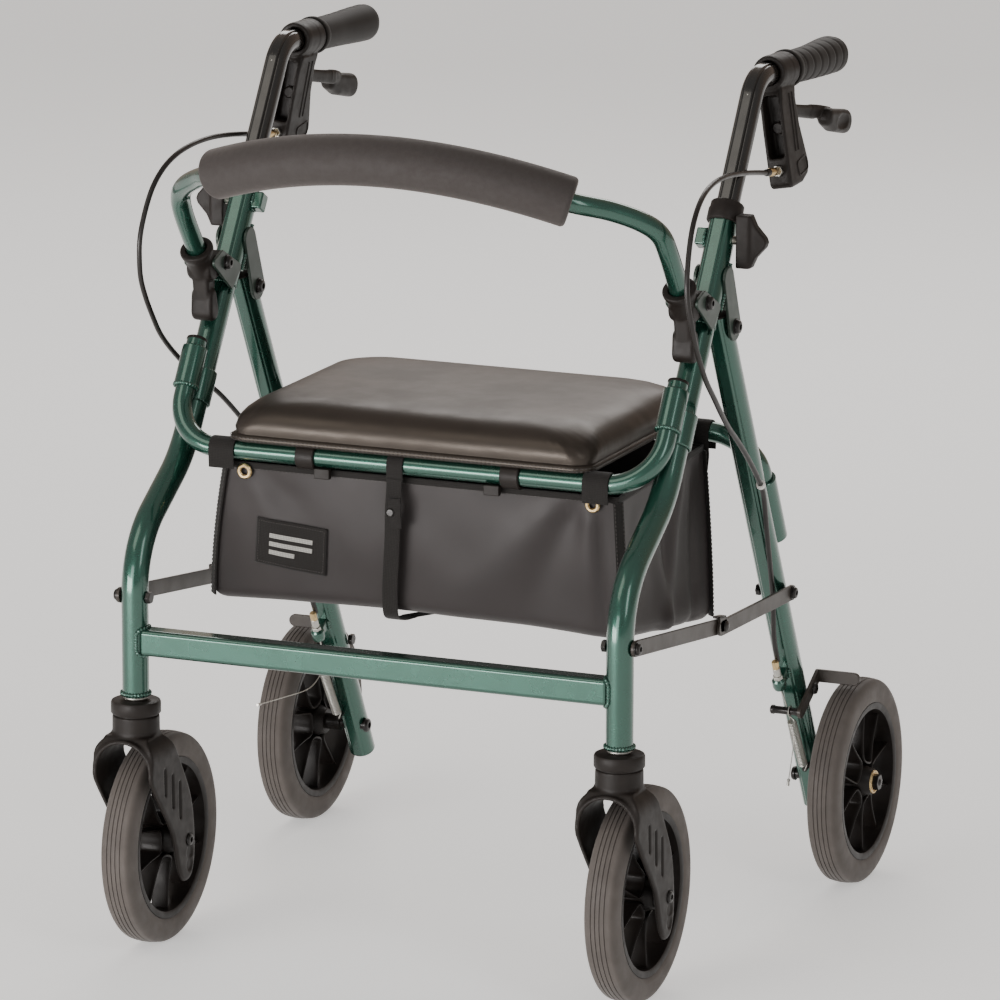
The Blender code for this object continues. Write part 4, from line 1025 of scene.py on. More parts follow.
def make_rail_joint(name, side):
    """Sleeves on the front leg and on the seat rail, welded side by side, and the rail's plug."""
    foot = leg_point(0.505)
    rail_foot = foot + LEG_FORWARD * RAIL_OFFSET
    leg_place = along(across(0, side, foot), LEG_UP)
    rail_place = along(across(0, side, rail_foot + LEG_UP * 0.006), LEG_UP)
    sleeves = [
        lathe(f"leg_sleeve_{name}", sleeve_profile(0.0130, 0.0152, 0.032), leg_place, ENAMEL, None, 56),
        lathe(
            f"rail_sleeve_{name}_ring", sleeve_profile(0.0098, 0.0120, 0.0395), rail_place, ENAMEL, None, 56
        ),
    ]
    web_low = foot + LEG_FORWARD * 0.013 + LEG_UP * 0.010
    web_high = foot + LEG_FORWARD * 0.013 + LEG_UP * 0.028
    outline = disc_hull((web_low.y, web_low.z, 0.004), (web_high.y, web_high.z, 0.004))
    sleeves.append(side_prism(f"rail_web_{name}", outline, side, -0.005, 0.005, ENAMEL, None))
    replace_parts(joined(f"rail_joint_{name}", sleeves, "frame"), f"rail_sleeve_{name}")
    for label, centre, radius, bead in (
        ("low", rail_foot + LEG_UP * 0.0065, 0.0108, 0.0018),
        ("high", rail_foot + LEG_UP * 0.0450, 0.0106, 0.0012),
        ("leg_low", foot + LEG_UP * 0.0005, 0.0139, 0.0011),
        ("leg_high", foot + LEG_UP * 0.0315, 0.0139, 0.0011),
    ):
        route = ring_points(across(0, side, centre), LEG_UP, radius, 100)
        weld(f"rail_weld_{label}_{name}", route, bead, "frame", None, True, 40 + side)
    for k, sign in ((0, 1), (1, -1)):
        start = foot + LEG_FORWARD * 0.0140 + LEG_UP * 0.008
        route = [across(sign * 0.0052, side, start + LEG_UP * (0.022 * j / 4)) for j in range(5)]
        weld(f"rail_web_weld_{k}_{name}", route, 0.0020, "frame", X_AXIS, False, 44 + k)
    top = leg_point(0.5498) + LEG_FORWARD * RAIL_OFFSET
    plug_profile = [
        (0, 0.0032), (0.0082, 0.0030), (0.0096, 0.0022), (0.0100, 0.0010), (0.0100, -0.0002), (0, -0.0002)
    ]
    lathe(f"rail_plug_{name}", plug_profile, along(across(0, side, top), LEG_UP), PLASTIC, "frame", 40)


def sleeve_profile(bore, radius, length):
    rim = 0.0007
    return ring_profile([
        (bore, length),
        (radius - rim, length),
        (radius, length - rim),
        (radius, rim),
        (radius - rim, 0),
        (bore, 0),
    ])


def make_rear_leg(name, side):
    top = across(0, side, rear_leg_point(REAR_LEG_TOP_Z))
    foot = across(0, side, rear_leg_point(REAR_LEG_FOOT_Z))
    tube = sweep(
        f"rear_leg_{name}_tube", refined([top, foot], 0.03), grooved_oval(0.0127, 0.0132, 0.0006), ENAMEL,
        "rear_frame",
        X_AXIS,
    )
    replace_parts(tube, f"rear_leg_{name}")
    for label, place in (
        ("foot", along(foot - REAR_DOWN * 0.0002, REAR_DOWN)),
        ("top", along(top + REAR_DOWN * 0.0002, -REAR_DOWN)),
    ):
        plug = [(0, 0.0022), (0.0105, 0.0020), (0.0122, 0.0012), (0.0125, 0), (0, 0)]
        lathe(f"rear_leg_{label}_plug_{name}", plug, place, PLASTIC, "rear_frame", 40)
    high = rear_rail_point(0.428)
    low = rear_rail_point(0.364)
    lathe(
        f"rear_socket_{name}",
        sleeve_profile(0.0098, 0.0125, (high - low).length),
        along(across(0, side, low), high - low),
        ENAMEL,
        "rear_frame",
        56,
    )
    for label, sign in (("outer", 1), ("inner", -1)):
        start = rear_rail_point(0.374) - REAR_BACK * 0.0130
        end = rear_rail_point(0.420) - REAR_BACK * 0.0130
        route = [across(sign * 0.0052, side, start.lerp(end, j / 6)) for j in range(7)]
        weld(f"rear_socket_weld_{label}_{name}", route, 0.0021, "rear_frame", X_AXIS)
    web = disc_hull(
        *[(point.y, point.z, 0.004) for point in (
            rear_rail_point(0.420) - REAR_BACK * 0.0127, rear_rail_point(0.374) - REAR_BACK * 0.0127
        )]
    )
    side_prism(f"rear_socket_web_{name}", web, side, -0.005, 0.005, ENAMEL, "rear_frame")


def make_cable_stop(name, side):
    """The cup on the rear leg that the cable's sheath ends in, and the bare wire below it."""
    cup_top = Vector((0, 0.1365, 0.2195))
    run = -REAR_DOWN
    body = "rear_frame"
    cup = [
        (0, 0.0125), (0.0050, 0.0125), (0.0066, 0.0105), (0.0070, 0.0040), (0.0060, 0.0006), (0.0030, 0),
        (0, 0)
    ]
    cup_place = along(across(0, side, cup_top + REAR_DOWN * 0.0125), run)
    lathe(f"cable_cup_{name}", cup, cup_place, ENAMEL, body, 40)
    tab_from = cup_top + REAR_DOWN * 0.006
    tab_to = tab_from + REAR_BACK * 0.020
    tab = disc_hull((tab_from.y, tab_from.z, 0.004), (tab_to.y, tab_to.z, 0.0065))
    side_prism(f"cable_tab_{name}", tab, side, -0.0042, 0.0042, ENAMEL, body, 0.0016)
    bead_top = tab_to - REAR_BACK * 0.004
    for label, sign in (("outer", 1), ("inner", -1)):
        route = [across(sign * 0.0048, side, bead_top + REAR_DOWN * (0.0065 - 0.0022 * j)) for j in range(6)]
        weld(f"cable_tab_weld_{label}_{name}", route, 0.0016, body, X_AXIS)
    nut_place = along(across(0, side, cup_top + REAR_DOWN * 0.0002), run)
    hex_nut(f"cable_nut_{name}", nut_place, 0.0050, 0.0042, ZINC, body)
    barrel = [(0, 0.0100), (0.0030, 0.0100), (0.0036, 0.0092), (0.0036, 0.0008), (0.0030, 0), (0, 0)]
    lathe(f"cable_barrel_{name}", barrel, lifted(nut_place, 0.004), ZINC, body, 32)
    ferrule = [(0, 0.0115), (0.0029, 0.0115), (0.0034, 0.0105), (0.0034, 0.0010), (0.0030, 0), (0, 0)]
    lathe(f"cable_ferrule_{name}", ferrule, lifted(nut_place, 0.0105), BRASS, body, 32)
    wire = smooth_route(
        [across(0.0, side, cup_top + REAR_DOWN * 0.012), across(0.001, side, (0, 0.151, 0.196)),
         across(0.002, side, (0, 0.1555, 0.1870))],
        8,
    )
    inner = sweep(f"cable_wire_{name}", wire, circle(0.0008, 10), ZINC, None)
    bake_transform(inner)
    if side > 0:
        tail = [across(0.0030, side, point) for point in (
            (0, 0.1600, 0.1790), (0, 0.1700, 0.1600), (0, 0.1725, 0.1448), (0, 0.1660, 0.1250),
            (0, 0.1587, 0.1067)
        )]
    else:
        tail = [Vector(point) for point in (
            (-0.2480, 0.1600, 0.1790), (-0.2490, 0.1500, 0.1660), (-0.2500, 0.1250, 0.1600),
            (-0.2505, 0.0700, 0.1650),
            (-0.2505, 0.0094, 0.1720),
        )]
    sweep(f"wire_tail_{name}", smooth_route(tail, 6), circle(0.0005, 8), ZINC, body)
    crimp = [
        (0, 0.0070), (0.0013, 0.0070), (0.0016, 0.0060), (0.0012, 0.0035), (0.0016, 0.0010), (0.0012, 0),
        (0, 0)
    ]
    lathe(f"wire_crimp_{name}", crimp, along(tail[-1], tail[-2] - tail[-1]), ZINC, body, 20)


def make_cable(name, side):
    """The cable's sheath, in two lengths: the upper one follows the handle, the lower one the rear leg."""
    route = smooth_route([mirrored(point, side) for point in CABLE_ROUTE], 6)
    split = min(range(len(route)), key=lambda k: (route[k] - mirrored(CABLE_ROUTE[12], side)).length)
    upper = sweep(
        f"brake_cable_{name}_upper", route[: split + 1], circle(CABLE_RADIUS, 20), CABLE_SHEATH, None
    )
    lower = sweep(f"brake_cable_{name}_lower", route[split:], circle(CABLE_RADIUS, 20), CABLE_SHEATH, None)
    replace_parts(upper, f"brake_cable_{name}")
    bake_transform(upper)
    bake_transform(lower)
    clip_at = mirrored((0.2628, 0.0320, 0.4355), side)
    near = min(range(1, len(route) - 1), key=lambda k: (route[k] - clip_at).length)
    ring = [(0.0026, 0.0045), (0.0040, 0.0045), (0.0044, 0.0038), (0.0044, 0.0007), (0.0040, 0), (0.0026, 0)]
    clip = lathe(
        f"cable_clip_{name}",
        ring_profile(ring),
        along(route[near], route[near + 1] - route[near - 1]),
        WHITE_PLASTIC,
        None,
        32,
    )
    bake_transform(clip)


def make_collar(name, side):
    foot = leg_point(LEG_TOP_Z) - LEG_UP * 0.008
    place = along(across(0, side, foot), LEG_UP)
    profile = ring_profile([
        (0.0118, 0.0200),
        (0.0150, 0.0200),
        (0.0158, 0.0190),
        (0.0160, 0.0140),
        (0.0168, 0.0120),
        (0.0168, 0.0016),
        (0.0160, 0.0004),
        (0.0150, 0.0000),
        (0.0132, 0.0000),
        (0.0132, 0.0083),
        (0.0118, 0.0083),
    ])
    collar = lathe(f"clamp_collar_{name}_ring", profile, place, KNOB_PLASTIC, "frame", 56)
    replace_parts(collar, f"clamp_collar_{name}")


def make_knob(name, side):
    outline = [
        (0.0050, -0.0250),
        (0.0190, -0.0250),
        (0.0235, -0.0150),
        (0.0330, -0.0045),
        (0.0345, 0.0000),
        (0.0330, 0.0045),
        (0.0235, 0.0150),
        (0.0190, 0.0250),
        (0.0050, 0.0250),
    ]
    base = LEG_X + LEG_RADIUS
    place = Matrix(
        ((side, 0, 0, side * base), (0, 0, -side, KNOB_CENTRE.y), (0, 1, 0, KNOB_CENTRE.z), (0, 0, 0, 1))
    )
    ridge = prism(f"knob_ridge_{name}", outline, 0.0110, place, KNOB_PLASTIC, None, 0.0012)
    slab = [(0.0050, -0.0250), (0.0185, -0.0250), (0.0185, 0.0250), (0.0050, 0.0250)]
    body = prism(f"knob_slab_{name}", slab, 0.0150, place, KNOB_PLASTIC, None, 0.0012)
    knob = moulded(f"height_knob_{name}_wing", [ridge, body], 0.0008, KNOB_PLASTIC, f"height_knob_{name}")
    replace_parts(knob, f"height_knob_{name}")
    thread = [(0, 0.0060)]
    for k in range(6):
        thread += [(0.0037, 0.0058 - 0.0010 * k), (0.0042, 0.0053 - 0.0010 * k)]
    thread += [(0.0037, -0.0003), (0, -0.0003)]
    screw_place = along(Vector((side * (base + 0.0002), KNOB_CENTRE.y, KNOB_CENTRE.z)), (side, 0, 0))
    lathe(f"knob_screw_{name}", thread, screw_place, ZINC, f"height_knob_{name}", 32)


def make_caster_stem(name, side):
    profile = [
        (0, 0.2504),
        (0.0108, 0.2504),
        (0.0116, 0.2498),
        (0.0116, 0.2486),
        (0.0108, 0.2480),
        (0.0100, 0.2470),
        (0.0062, 0.2470),
        (0.0062, 0.2240),
        (0, 0.2240),
    ]
    stem = lathe(
        f"caster_stem_{name}_pin", profile, Matrix.Translation((side * LEG_X, STEM_Y, 0)), ZINC, "frame", 48
    )
    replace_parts(stem, f"caster_stem_{name}")


# Casters and wheels


def make_fork(name, side):
    half = 0.0315
    inner = 0.0268
    crown_z = 0.1830
    relative = [
        (-0.0225, 0.2150),
        (-0.0285, 0.2060),
        (-0.0300, 0.1930),
        (-0.0300, 0.1760),
        (-0.0081, 0.1451),
        (0.0146, 0.1154),
        (0.0264, 0.0798),
        (0.0350, 0.0650),
        (0.0430, 0.0615),
        (0.0535, 0.0650),
        (0.0605, 0.0800),
        (0.0615, 0.1080),
        (0.0555, 0.1406),
        (0.0405, 0.1698),
        (0.0200, 0.2020),
        (0.0100, 0.2150),
    ]
    rounded = smooth_route([(STEM_Y + y, z, 0) for y, z in relative], 4)
    outline = [(point.x, point.y) for point in rounded]
    body = f"caster_{name}"
    shell = side_prism(f"fork_shell_{name}", outline, side, -half, half, PLASTIC, None, 0.004, 3)
    neck_profile = [(0, 0.2330), (0.0222, 0.2330), (0.0225, 0.2120), (0.0225, 0.1900), (0, 0.1900)]
    stem_place = Matrix.Translation((side * LEG_X, STEM_Y, 0))
    neck = lathe(f"fork_neck_{name}", neck_profile, stem_place, PLASTIC, None, 56)
    lip = []
    for k in range(25):
        angle = pi * k / 24
        lip.append(Vector((
            side * LEG_X + (inner + 0.0022) * cos(angle), STEM_Y - 0.0292,
            crown_z + (inner + 0.0016) * sin(angle)
        )))
    for sign in (1, -1):
        cheek = [
            Vector((side * LEG_X + sign * (inner + 0.0022), STEM_Y + y + 0.0012, z))
            for y, z in ((-0.0290, 0.1740), (-0.0075, 0.1460), (0.0150, 0.1165), (0.0255, 0.0880))
        ]
        lip = [*reversed(cheek), *lip] if sign > 0 else [*lip, *cheek]
    rim = sweep(f"fork_lip_{name}", smooth_route(lip, 2), circle(0.0027, 14), PLASTIC, None)
    arch = [(inner * cos(pi * k / 32), crown_z + inner * sin(pi * k / 32)) for k in range(33)]
    arch += [(-inner, 0.03), (inner, 0.03)]
    arch_place = Matrix(((-1, 0, 0, side * LEG_X), (0, 0, 1, STEM_Y + 0.02), (0, 1, 0, 0), (0, 0, 0, 1)))
    cutters = [prism(f"fork_mouth_{name}", arch, 0.16, arch_place, PLASTIC, None, 0)]
    for sign in (1, -1):
        shoulder = [(sign * 0.036, 0.191), (sign * 0.036, 0.2175), (sign * 0.0227, 0.2175)]
        for k in range(13):
            angle = 1.105 * (1 - k / 12)
            shoulder.append((sign * (0.0150 + 0.0167 * cos(angle)), 0.191 + 0.0240 * sin(angle)))
        cutters.append(
            prism(f"fork_shoulder_{sign}_{name}", shoulder[::sign], 0.16, arch_place, PLASTIC, None, 0)
        )
    vents = ((-0.2771, 0.181, 0.157), (-0.2610, 0.172, 0.1415), (-0.2455, 0.162, 0.1275))
    axle = Vector((0, FRONT_AXLE_Y, AXLE_Z))
    scallops = [axle, axle - Vector((0, -0.0008, 0.0125)), axle - Vector((0, -0.0002, 0.0245))]
    for sign in (1, -1):
        surface = side * LEG_X + sign * half
        for k, (y, high, low) in enumerate(vents):
            slot = disc_hull((y, high, 0.0018), (y + 0.0012, low, 0.0018), count=16)
            cutters.append(
                prism(f"fork_slot_{k}_{sign}_{name}", slot, 0.0056, side_frame(surface), PLASTIC, None, 0)
            )
        for k, spot in enumerate(scallops):
            profile = [(0, 0.0016), (0.0066, 0.0016), (0.0066, -0.0016), (0, -0.0016)]
            place = along((surface, spot.y, spot.z), X_AXIS)
            cutters.append(lathe(f"fork_scallop_{k}_{sign}_{name}", profile, place, PLASTIC, None, 32))
    fork = moulded(f"caster_fork_{name}_body", [shell, neck, rim], 0.0011, PLASTIC, body, cutters, 5)
    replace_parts(fork, f"caster_fork_{name}")
    cap = [
        (0, 0.2470),
        (0.0205, 0.2472),
        (0.0228, 0.2462),
        (0.0236, 0.2445),
        (0.0236, 0.2352),
        (0.0230, 0.2343),
        (0.0208, 0.2340),
        (0.0208, 0.2322),
        (0, 0.2322),
    ]
    lathe(f"fork_cap_{name}", cap, stem_place, PLASTIC, body, 64)


def make_caster_axle(name, side):
    body = f"caster_{name}"
    centre = Vector((0, FRONT_AXLE_Y, AXLE_Z))
    shaft = [(0, 0.031), (0.0040, 0.031), (0.0040, -0.031), (0, -0.031)]
    axle = lathe(f"caster_axle_{name}_shaft", shaft, along(across(0, side, centre), X_AXIS), ZINC, body, 24)
    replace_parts(axle, f"caster_axle_{name}")
    for k, sign in ((0, 1), (1, -1)):
        place = along(across(0.0298 * sign, side, centre), (side * sign, 0, 0))
        screw_head(f"caster_bolt_{k}_{name}", place, 0.0060, 0.0040, BOLT_BLACK, body)


def make_tyre(name, node, centre, side, body):
    """A solid tyre: crowned tread with four fine grooves, round shoulders and a bead at the rim."""
    half = 0.0158
    tread = 0.0090
    radius = AXLE_Z
    profile = [(0.0765, half - 0.0042), (0.0775, half - 0.0016), (0.0790, half - 0.0006), (0.0830, half)]
    for k in range(13):
        angle = pi / 2 * k / 12
        profile.append(
            (radius - 0.0010 - (1 - sin(angle)) * 0.0115, tread + (half - tread) * cos(angle) ** 0.8)
        )
    for groove in (0.0066, 0.0022, -0.0022, -0.0066):
        crown = radius - 0.0010 * (groove / tread) ** 2
        profile += [(crown, groove + 0.00055), (crown - 0.0009, groove + 0.0002)]
        profile += [(crown - 0.0009, groove - 0.0002), (crown, groove - 0.00055)]
    lower = [(r, -h) for r, h in profile[:17]]
    profile += list(reversed(lower))
    place = along(centre, (side, 0, 0))
    tyre = lathe(name, ring_profile(profile), place, TYRE, body, 128, 28)
    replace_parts(tyre, node)


def make_hub(name, node, centre, side, half_length, body):
    """The moulded centre: a stepped barrel, five arched pairs of ribs and the rim inside the tyre."""
    place = along(centre, (side, 0, 0))
    rim = lathe(
        name,
        ring_profile([
            (0.0708, 0.0138),
            (0.0730, 0.0148),
            (0.0772, 0.0148),
            (0.0780, 0.0138),
            (0.0780, -0.0138),
            (0.0772, -0.0148),
            (0.0730, -0.0148),
            (0.0708, -0.0138),
            (0.0700, -0.0040),
            (0.0696, 0),
            (0.0700, 0.0040),
        ]),
        place,
        HUB_PLASTIC,
        None,
        112,
    )
    barrel = lathe(
        name + "_barrel",
        ring_profile([
            (0.0060, half_length),
            (0.0118, half_length),
            (0.0130, half_length - 0.0012),
            (0.0140, half_length - 0.0060),
            (0.0175, 0.0060),
            (0.0175, -0.0060),
            (0.0140, 0.0060 - half_length),
            (0.0130, 0.0012 - half_length),
            (0.0118, -half_length),
            (0.0060, -half_length),
        ]),
        place,
        HUB_PLASTIC,
        None,
        48,
    )
    ribs = [rim, barrel]
    rib_leans = ((1.0, -0.300), (0.70, -0.330), (0.48, -0.400), (0.33, -0.480), (0.265, -0.30), (0.25, 0))
    count = 5
    for k in range(count):
        turn = 2 * pi * k / count
        arch = []
        for share, lean in rib_leans:
            arch.append((share * 0.0715, lean))
        arch += [(r, -lean) for r, lean in reversed(arch[:-1])]
        route = [Vector((r * cos(turn + lean), r * sin(turn + lean), 0)) for r, lean in arch]
        route = smooth_route(route, 5)
        total = sum((b - a).length for a, b in zip(route, route[1:]))

        def deep(length, angle, total=total):
            return 1.0 + 0.35 * exp(-(((length - total / 2) / 0.020) ** 2))

        section = oval(0.0088, 0.0013, 20, 3.5)
        rib = sweep(f"{name}_rib_{k}", route, section, HUB_PLASTIC, None, Z_AXIS, deep)
        rib.data.transform(place)
        ribs.append(rib)
    hub = joined(name + "_wheel", ribs, body)
    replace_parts(hub, node)


def make_rear_axle(name, side):
    body = "rear_frame"
    place = along((0, REAR_AXLE_Y, AXLE_Z), (side, 0, 0))
    spacer = [
        (0, 0.3130), (0.0050, 0.3130), (0.0050, 0.2735), (0.0080, 0.2730), (0.0080, 0.2575),
        (0.0050, 0.2570),
        (0.0050, 0.2310), (0, 0.2310),
    ]
    shaft = lathe(f"rear_axle_{name}_shaft", spacer, place, BOLT_BLACK, body, 40)
    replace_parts(shaft, f"rear_axle_{name}")
    hex_nut(f"axle_nut_{name}", lifted(place, 0.3122), 0.0082, 0.0060, BOLT_BLACK, body)
    dome = [(0, 0.0038), (0.0022, 0.0034), (0.0042, 0.0020), (0.0048, 0), (0, 0)]
    lathe(f"axle_end_{name}", dome, lifted(place, 0.3160), BOLT_BLACK, body, 32)
    inner = along((side * 0.2312, REAR_AXLE_Y, AXLE_Z), (-side, 0, 0))
    screw_head(f"axle_head_{name}", inner, 0.0070, 0.0042, BOLT_BLACK, body)
    bearing = ring_profile([
        (0.0068, 0.0008), (0.0078, 0.0012), (0.0084, 0.0004), (0.0094, 0.0004), (0.0100, 0.0014),
        (0.0112, 0.0014),
        (0.0116, 0.0006), (0.0116, -0.0020), (0.0068, -0.0020),
    ])
    wheel = f"rear_wheel_{name}"
    lathe(f"bearing_{name}", bearing, lifted(place, REAR_WHEEL_X + 0.0190), BRASS, wheel, 48)


# Side braces


def make_front_link(name, side):
    body = f"brace_front_{name}"
    outline = disc_hull((*BRACE_FRONT.yz, BRACE_RADIUS), (*BRACE_MIDDLE.yz, BRACE_RADIUS))
    link = side_prism(
        f"front_link_{name}_bar", outline, side, PLATE_INNER, PLATE_OUTER, BLACK_PAINT, body, 0.0005
    )
    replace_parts(link, f"brace_front_link_{name}")
    brace_hardware(name, side, "front_link", BRACE_FRONT, PLATE_OUTER, body)


def brace_hardware(name, side, label, centre, face, body):
    outer = along(across(face, side, centre), (side, 0, 0))
    lathe(f"{label}_washer_{name}", washer_profile(0.0072, 0.0009), outer, BOLT_BLACK, body, 40)
    screw_head(f"{label}_bolt_{name}", lifted(outer, 0.0008), 0.0056, 0.0036, BOLT_BLACK, body)
    inner = along(across(-0.0126, side, centre), (-side, 0, 0))
    hex_nut(f"{label}_nut_{name}", inner, 0.0060, 0.0046, BOLT_BLACK, body)


def make_rear_link(name, side):
    body = f"brace_rear_{name}"
    toward = (BRACE_MIDDLE - BRACE_REAR).normalized()
    nose = BRACE_MIDDLE + toward * 0.010
    outline = disc_hull(*[(*centre.yz, BRACE_RADIUS) for centre in (BRACE_REAR, BRACE_MIDDLE, nose)])
    bar = side_prism(
        f"rear_link_bar_{name}", outline, side, LINK_INNER, LINK_OUTER, BLACK_PAINT, None, 0.0005
    )
    run = (BRACE_FRONT - BRACE_MIDDLE).normalized()
    up = Vector((0, run.z, -run.y))
    lip_start = BRACE_MIDDLE + run * 0.002 + up * 0.0094
    lip_end = BRACE_MIDDLE + run * 0.016 + up * 0.0094
    lip_outline = disc_hull((lip_start.y, lip_start.z, 0.0012), (lip_end.y, lip_end.z, 0.0012))
    lip = side_prism(
        f"rear_link_lip_{name}", lip_outline, side, 0.0120, LINK_OUTER, BLACK_PAINT, None, 0.0004
    )
    riser_outline = disc_hull(
        (lip_start.y, lip_start.z, 0.0012),
        (lip_end.y, lip_end.z, 0.0012),
        (nose.y, nose.z, 0.0040),
        (BRACE_MIDDLE.y, BRACE_MIDDLE.z, 0.0040),
    )
    riser = side_prism(
        f"rear_link_riser_{name}", riser_outline, side, LINK_INNER, LINK_OUTER, BLACK_PAINT, None, 0.0004
    )
    whole = joined(f"rear_link_{name}_bar", [bar, lip, riser], body)
    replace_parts(whole, f"brace_rear_link_{name}")
    brace_hardware(name, side, "rear_link", BRACE_REAR, LINK_OUTER, body)
    rivet = [(0, 0.0026), (0.0030, 0.0024), (0.0052, 0.0012), (0.0056, 0), (0, 0)]
    rivet_place = along(across(LINK_OUTER, side, BRACE_MIDDLE), (side, 0, 0))
    lathe(f"middle_rivet_{name}", rivet, rivet_place, BOLT_BLACK, body, 40)


# Backrest


def bar_point(x):
    share = (x / 0.1763) ** 2
    return PAD_MIDDLE + Vector((x, PAD_SWEEP * share, -PAD_DROP * share))


def backrest_route():
    arm = [
        across(0, 1, SOCKET_TOP - SOCKET_AXIS * 0.022),
        across(0, 1, SOCKET_TOP),
        across(0, 1, SOCKET_TOP + SOCKET_AXIS * 0.044),
        Vector((0.2410, -0.1750, 0.7090)),
        Vector((0.2290, -0.1895, 0.7225)),
        Vector((0.2060, -0.2090, 0.7345)),
    ]
    bar = [bar_point(0.1763 * (1 - k / 4)) for k in range(9)]
    return smooth_route([*arm, *bar, *[mirrored(point, -1) for point in reversed(arm)]], 8)


def make_backrest():
    tube = sweep("backrest_bar", backrest_route(), circle(0.0095, 40), ENAMEL, "backrest")
    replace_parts(tube, "backrest_tube")
    count = 72
    half = PAD_HALF_LENGTH
    line = [bar_point(half * (1 - 2 * k / count)) for k in range(count + 1)]
    total = sum((b - a).length for a, b in zip(line, line[1:]))
    rounding = 0.0045

    def plump(length, angle):
        from_end = min(length, total - length)
        if from_end >= rounding:
            return 1.0
        depth = rounding - from_end
        return 1 - (rounding - sqrt(max(0, rounding * rounding - depth * depth))) / PAD_RADIUS

    fine = refined(line[:3], 0.0005)[:-1] + line[2:-2] + refined(line[-3:], 0.0005)[1:]
    pad = sweep("backrest_foam_pad", fine, circle(PAD_RADIUS, 72), FOAM, "backrest", None, plump)
    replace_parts(pad, "backrest_pad")


def make_socket(name, side):
    elbow = SOCKET_TOP - SOCKET_AXIS * 0.026
    ring_place = along(across(0, side, SOCKET_TOP - SOCKET_AXIS * 0.034), SOCKET_AXIS)
    ring_shape = [
        (0, 0.0340), (0.0155, 0.0340), (0.0163, 0.0325), (0.0160, 0.0290), (0.0140, 0.0235),
        (0.0135, 0.0180),
        (0.0135, 0.0020), (0.0110, 0), (0, 0),
    ]
    parts = [
        lathe(f"socket_ring_{name}", ring_shape, ring_place, PLASTIC, None, 48),
        side_prism(
            f"socket_body_{name}",
            disc_hull((SOCKET_BOLT.y, SOCKET_BOLT.z, 0.0110), (elbow.y, elbow.z, 0.0125)),
            side, -0.0125, 0.0125, PLASTIC, None, 0.003,
        ),
        side_prism(
            f"socket_arm_{name}",
            disc_hull((elbow.y + 0.001, elbow.z - 0.004, 0.0105), (-0.1185, 0.602, 0.0075)),
            side, -0.0085, 0.0085, PLASTIC, None, 0.003,
        ),
        side_prism(
            f"socket_foot_{name}",
            disc_hull((-0.1185, 0.604, 0.0070), (-0.1170, 0.5890, 0.0095)),
            side, -0.0110, 0.0110, PLASTIC, None, 0.003,
        ),
    ]
    bore_shape = [(0, 0.06), (0.0101, 0.06), (0.0101, 0.010), (0, 0.010)]
    bore = lathe(f"socket_bore_{name}", bore_shape, ring_place, PLASTIC, None, 40)
    socket = moulded(f"backrest_socket_{name}_body", parts, 0.0009, PLASTIC, "frame", [bore], 5)
    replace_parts(socket, f"backrest_socket_{name}")


# Seat


def rounded_rectangle(half_x, low_y, high_y, corner, count=10):
    """Points round a rectangle with rounded corners, and which way each of them faces."""
    points = []
    for k, (cx, cy) in enumerate((
        (half_x - corner, high_y - corner),
        (corner - half_x, high_y - corner),
        (corner - half_x, low_y + corner),
        (half_x - corner, low_y + corner),
    )):
        for j in range(count + 1):
            angle = pi / 2 * (k + j / count)
            points.append(Vector((cx + corner * cos(angle), cy + corner * sin(angle), 0)))
    return points


def evenly(points, count):
    """This many points, evenly spaced round the closed loop."""
    loop = [*points, points[0]]
    marks = [0.0]
    for first, second in zip(loop, loop[1:]):
        marks.append(marks[-1] + (second - first).length)
    even = []
    k = 0
    for j in range(count):
        due = marks[-1] * j / count
        while marks[k + 1] < due:
            k += 1
        reach = marks[k + 1] - marks[k]
        even.append(loop[k].lerp(loop[k + 1], (due - marks[k]) / reach if reach else 0))
    return even


def shell_of_rings(name, rings, material, body, close_low=True, smooth=45):
    """A skin over closed rings that have the same number of points, with UVs in metres."""
    bm = bmesh.new()
    uv_layer = bm.loops.layers.uv.new("UVMap")
    made = [[bm.verts.new(point) for point in ring] for ring in rings]
    count = len(rings[0])
    round_marks = [0.0]
    for k in range(count):
        round_marks.append(round_marks[-1] + (rings[0][(k + 1) % count] - rings[0][k]).length)
    climb = 0.0
    for low, high, low_points, high_points in zip(made, made[1:], rings, rings[1:]):
        step = (high_points[0] - low_points[0]).length
        for k in range(count):
            n = (k + 1) % count
            face = bm.faces.new((low[k], low[n], high[n], high[k]))
            for loop, place in zip(face.loops, (
                (round_marks[k], climb), (round_marks[k + 1], climb),
                (round_marks[k + 1], climb + step), (round_marks[k], climb + step),
            )):
                loop[uv_layer].uv = place
        climb += step
    if close_low:
        bm.faces.new(made[0])
    bm.faces.new(made[-1])
    return from_bmesh(name, bm, material, body, smooth)


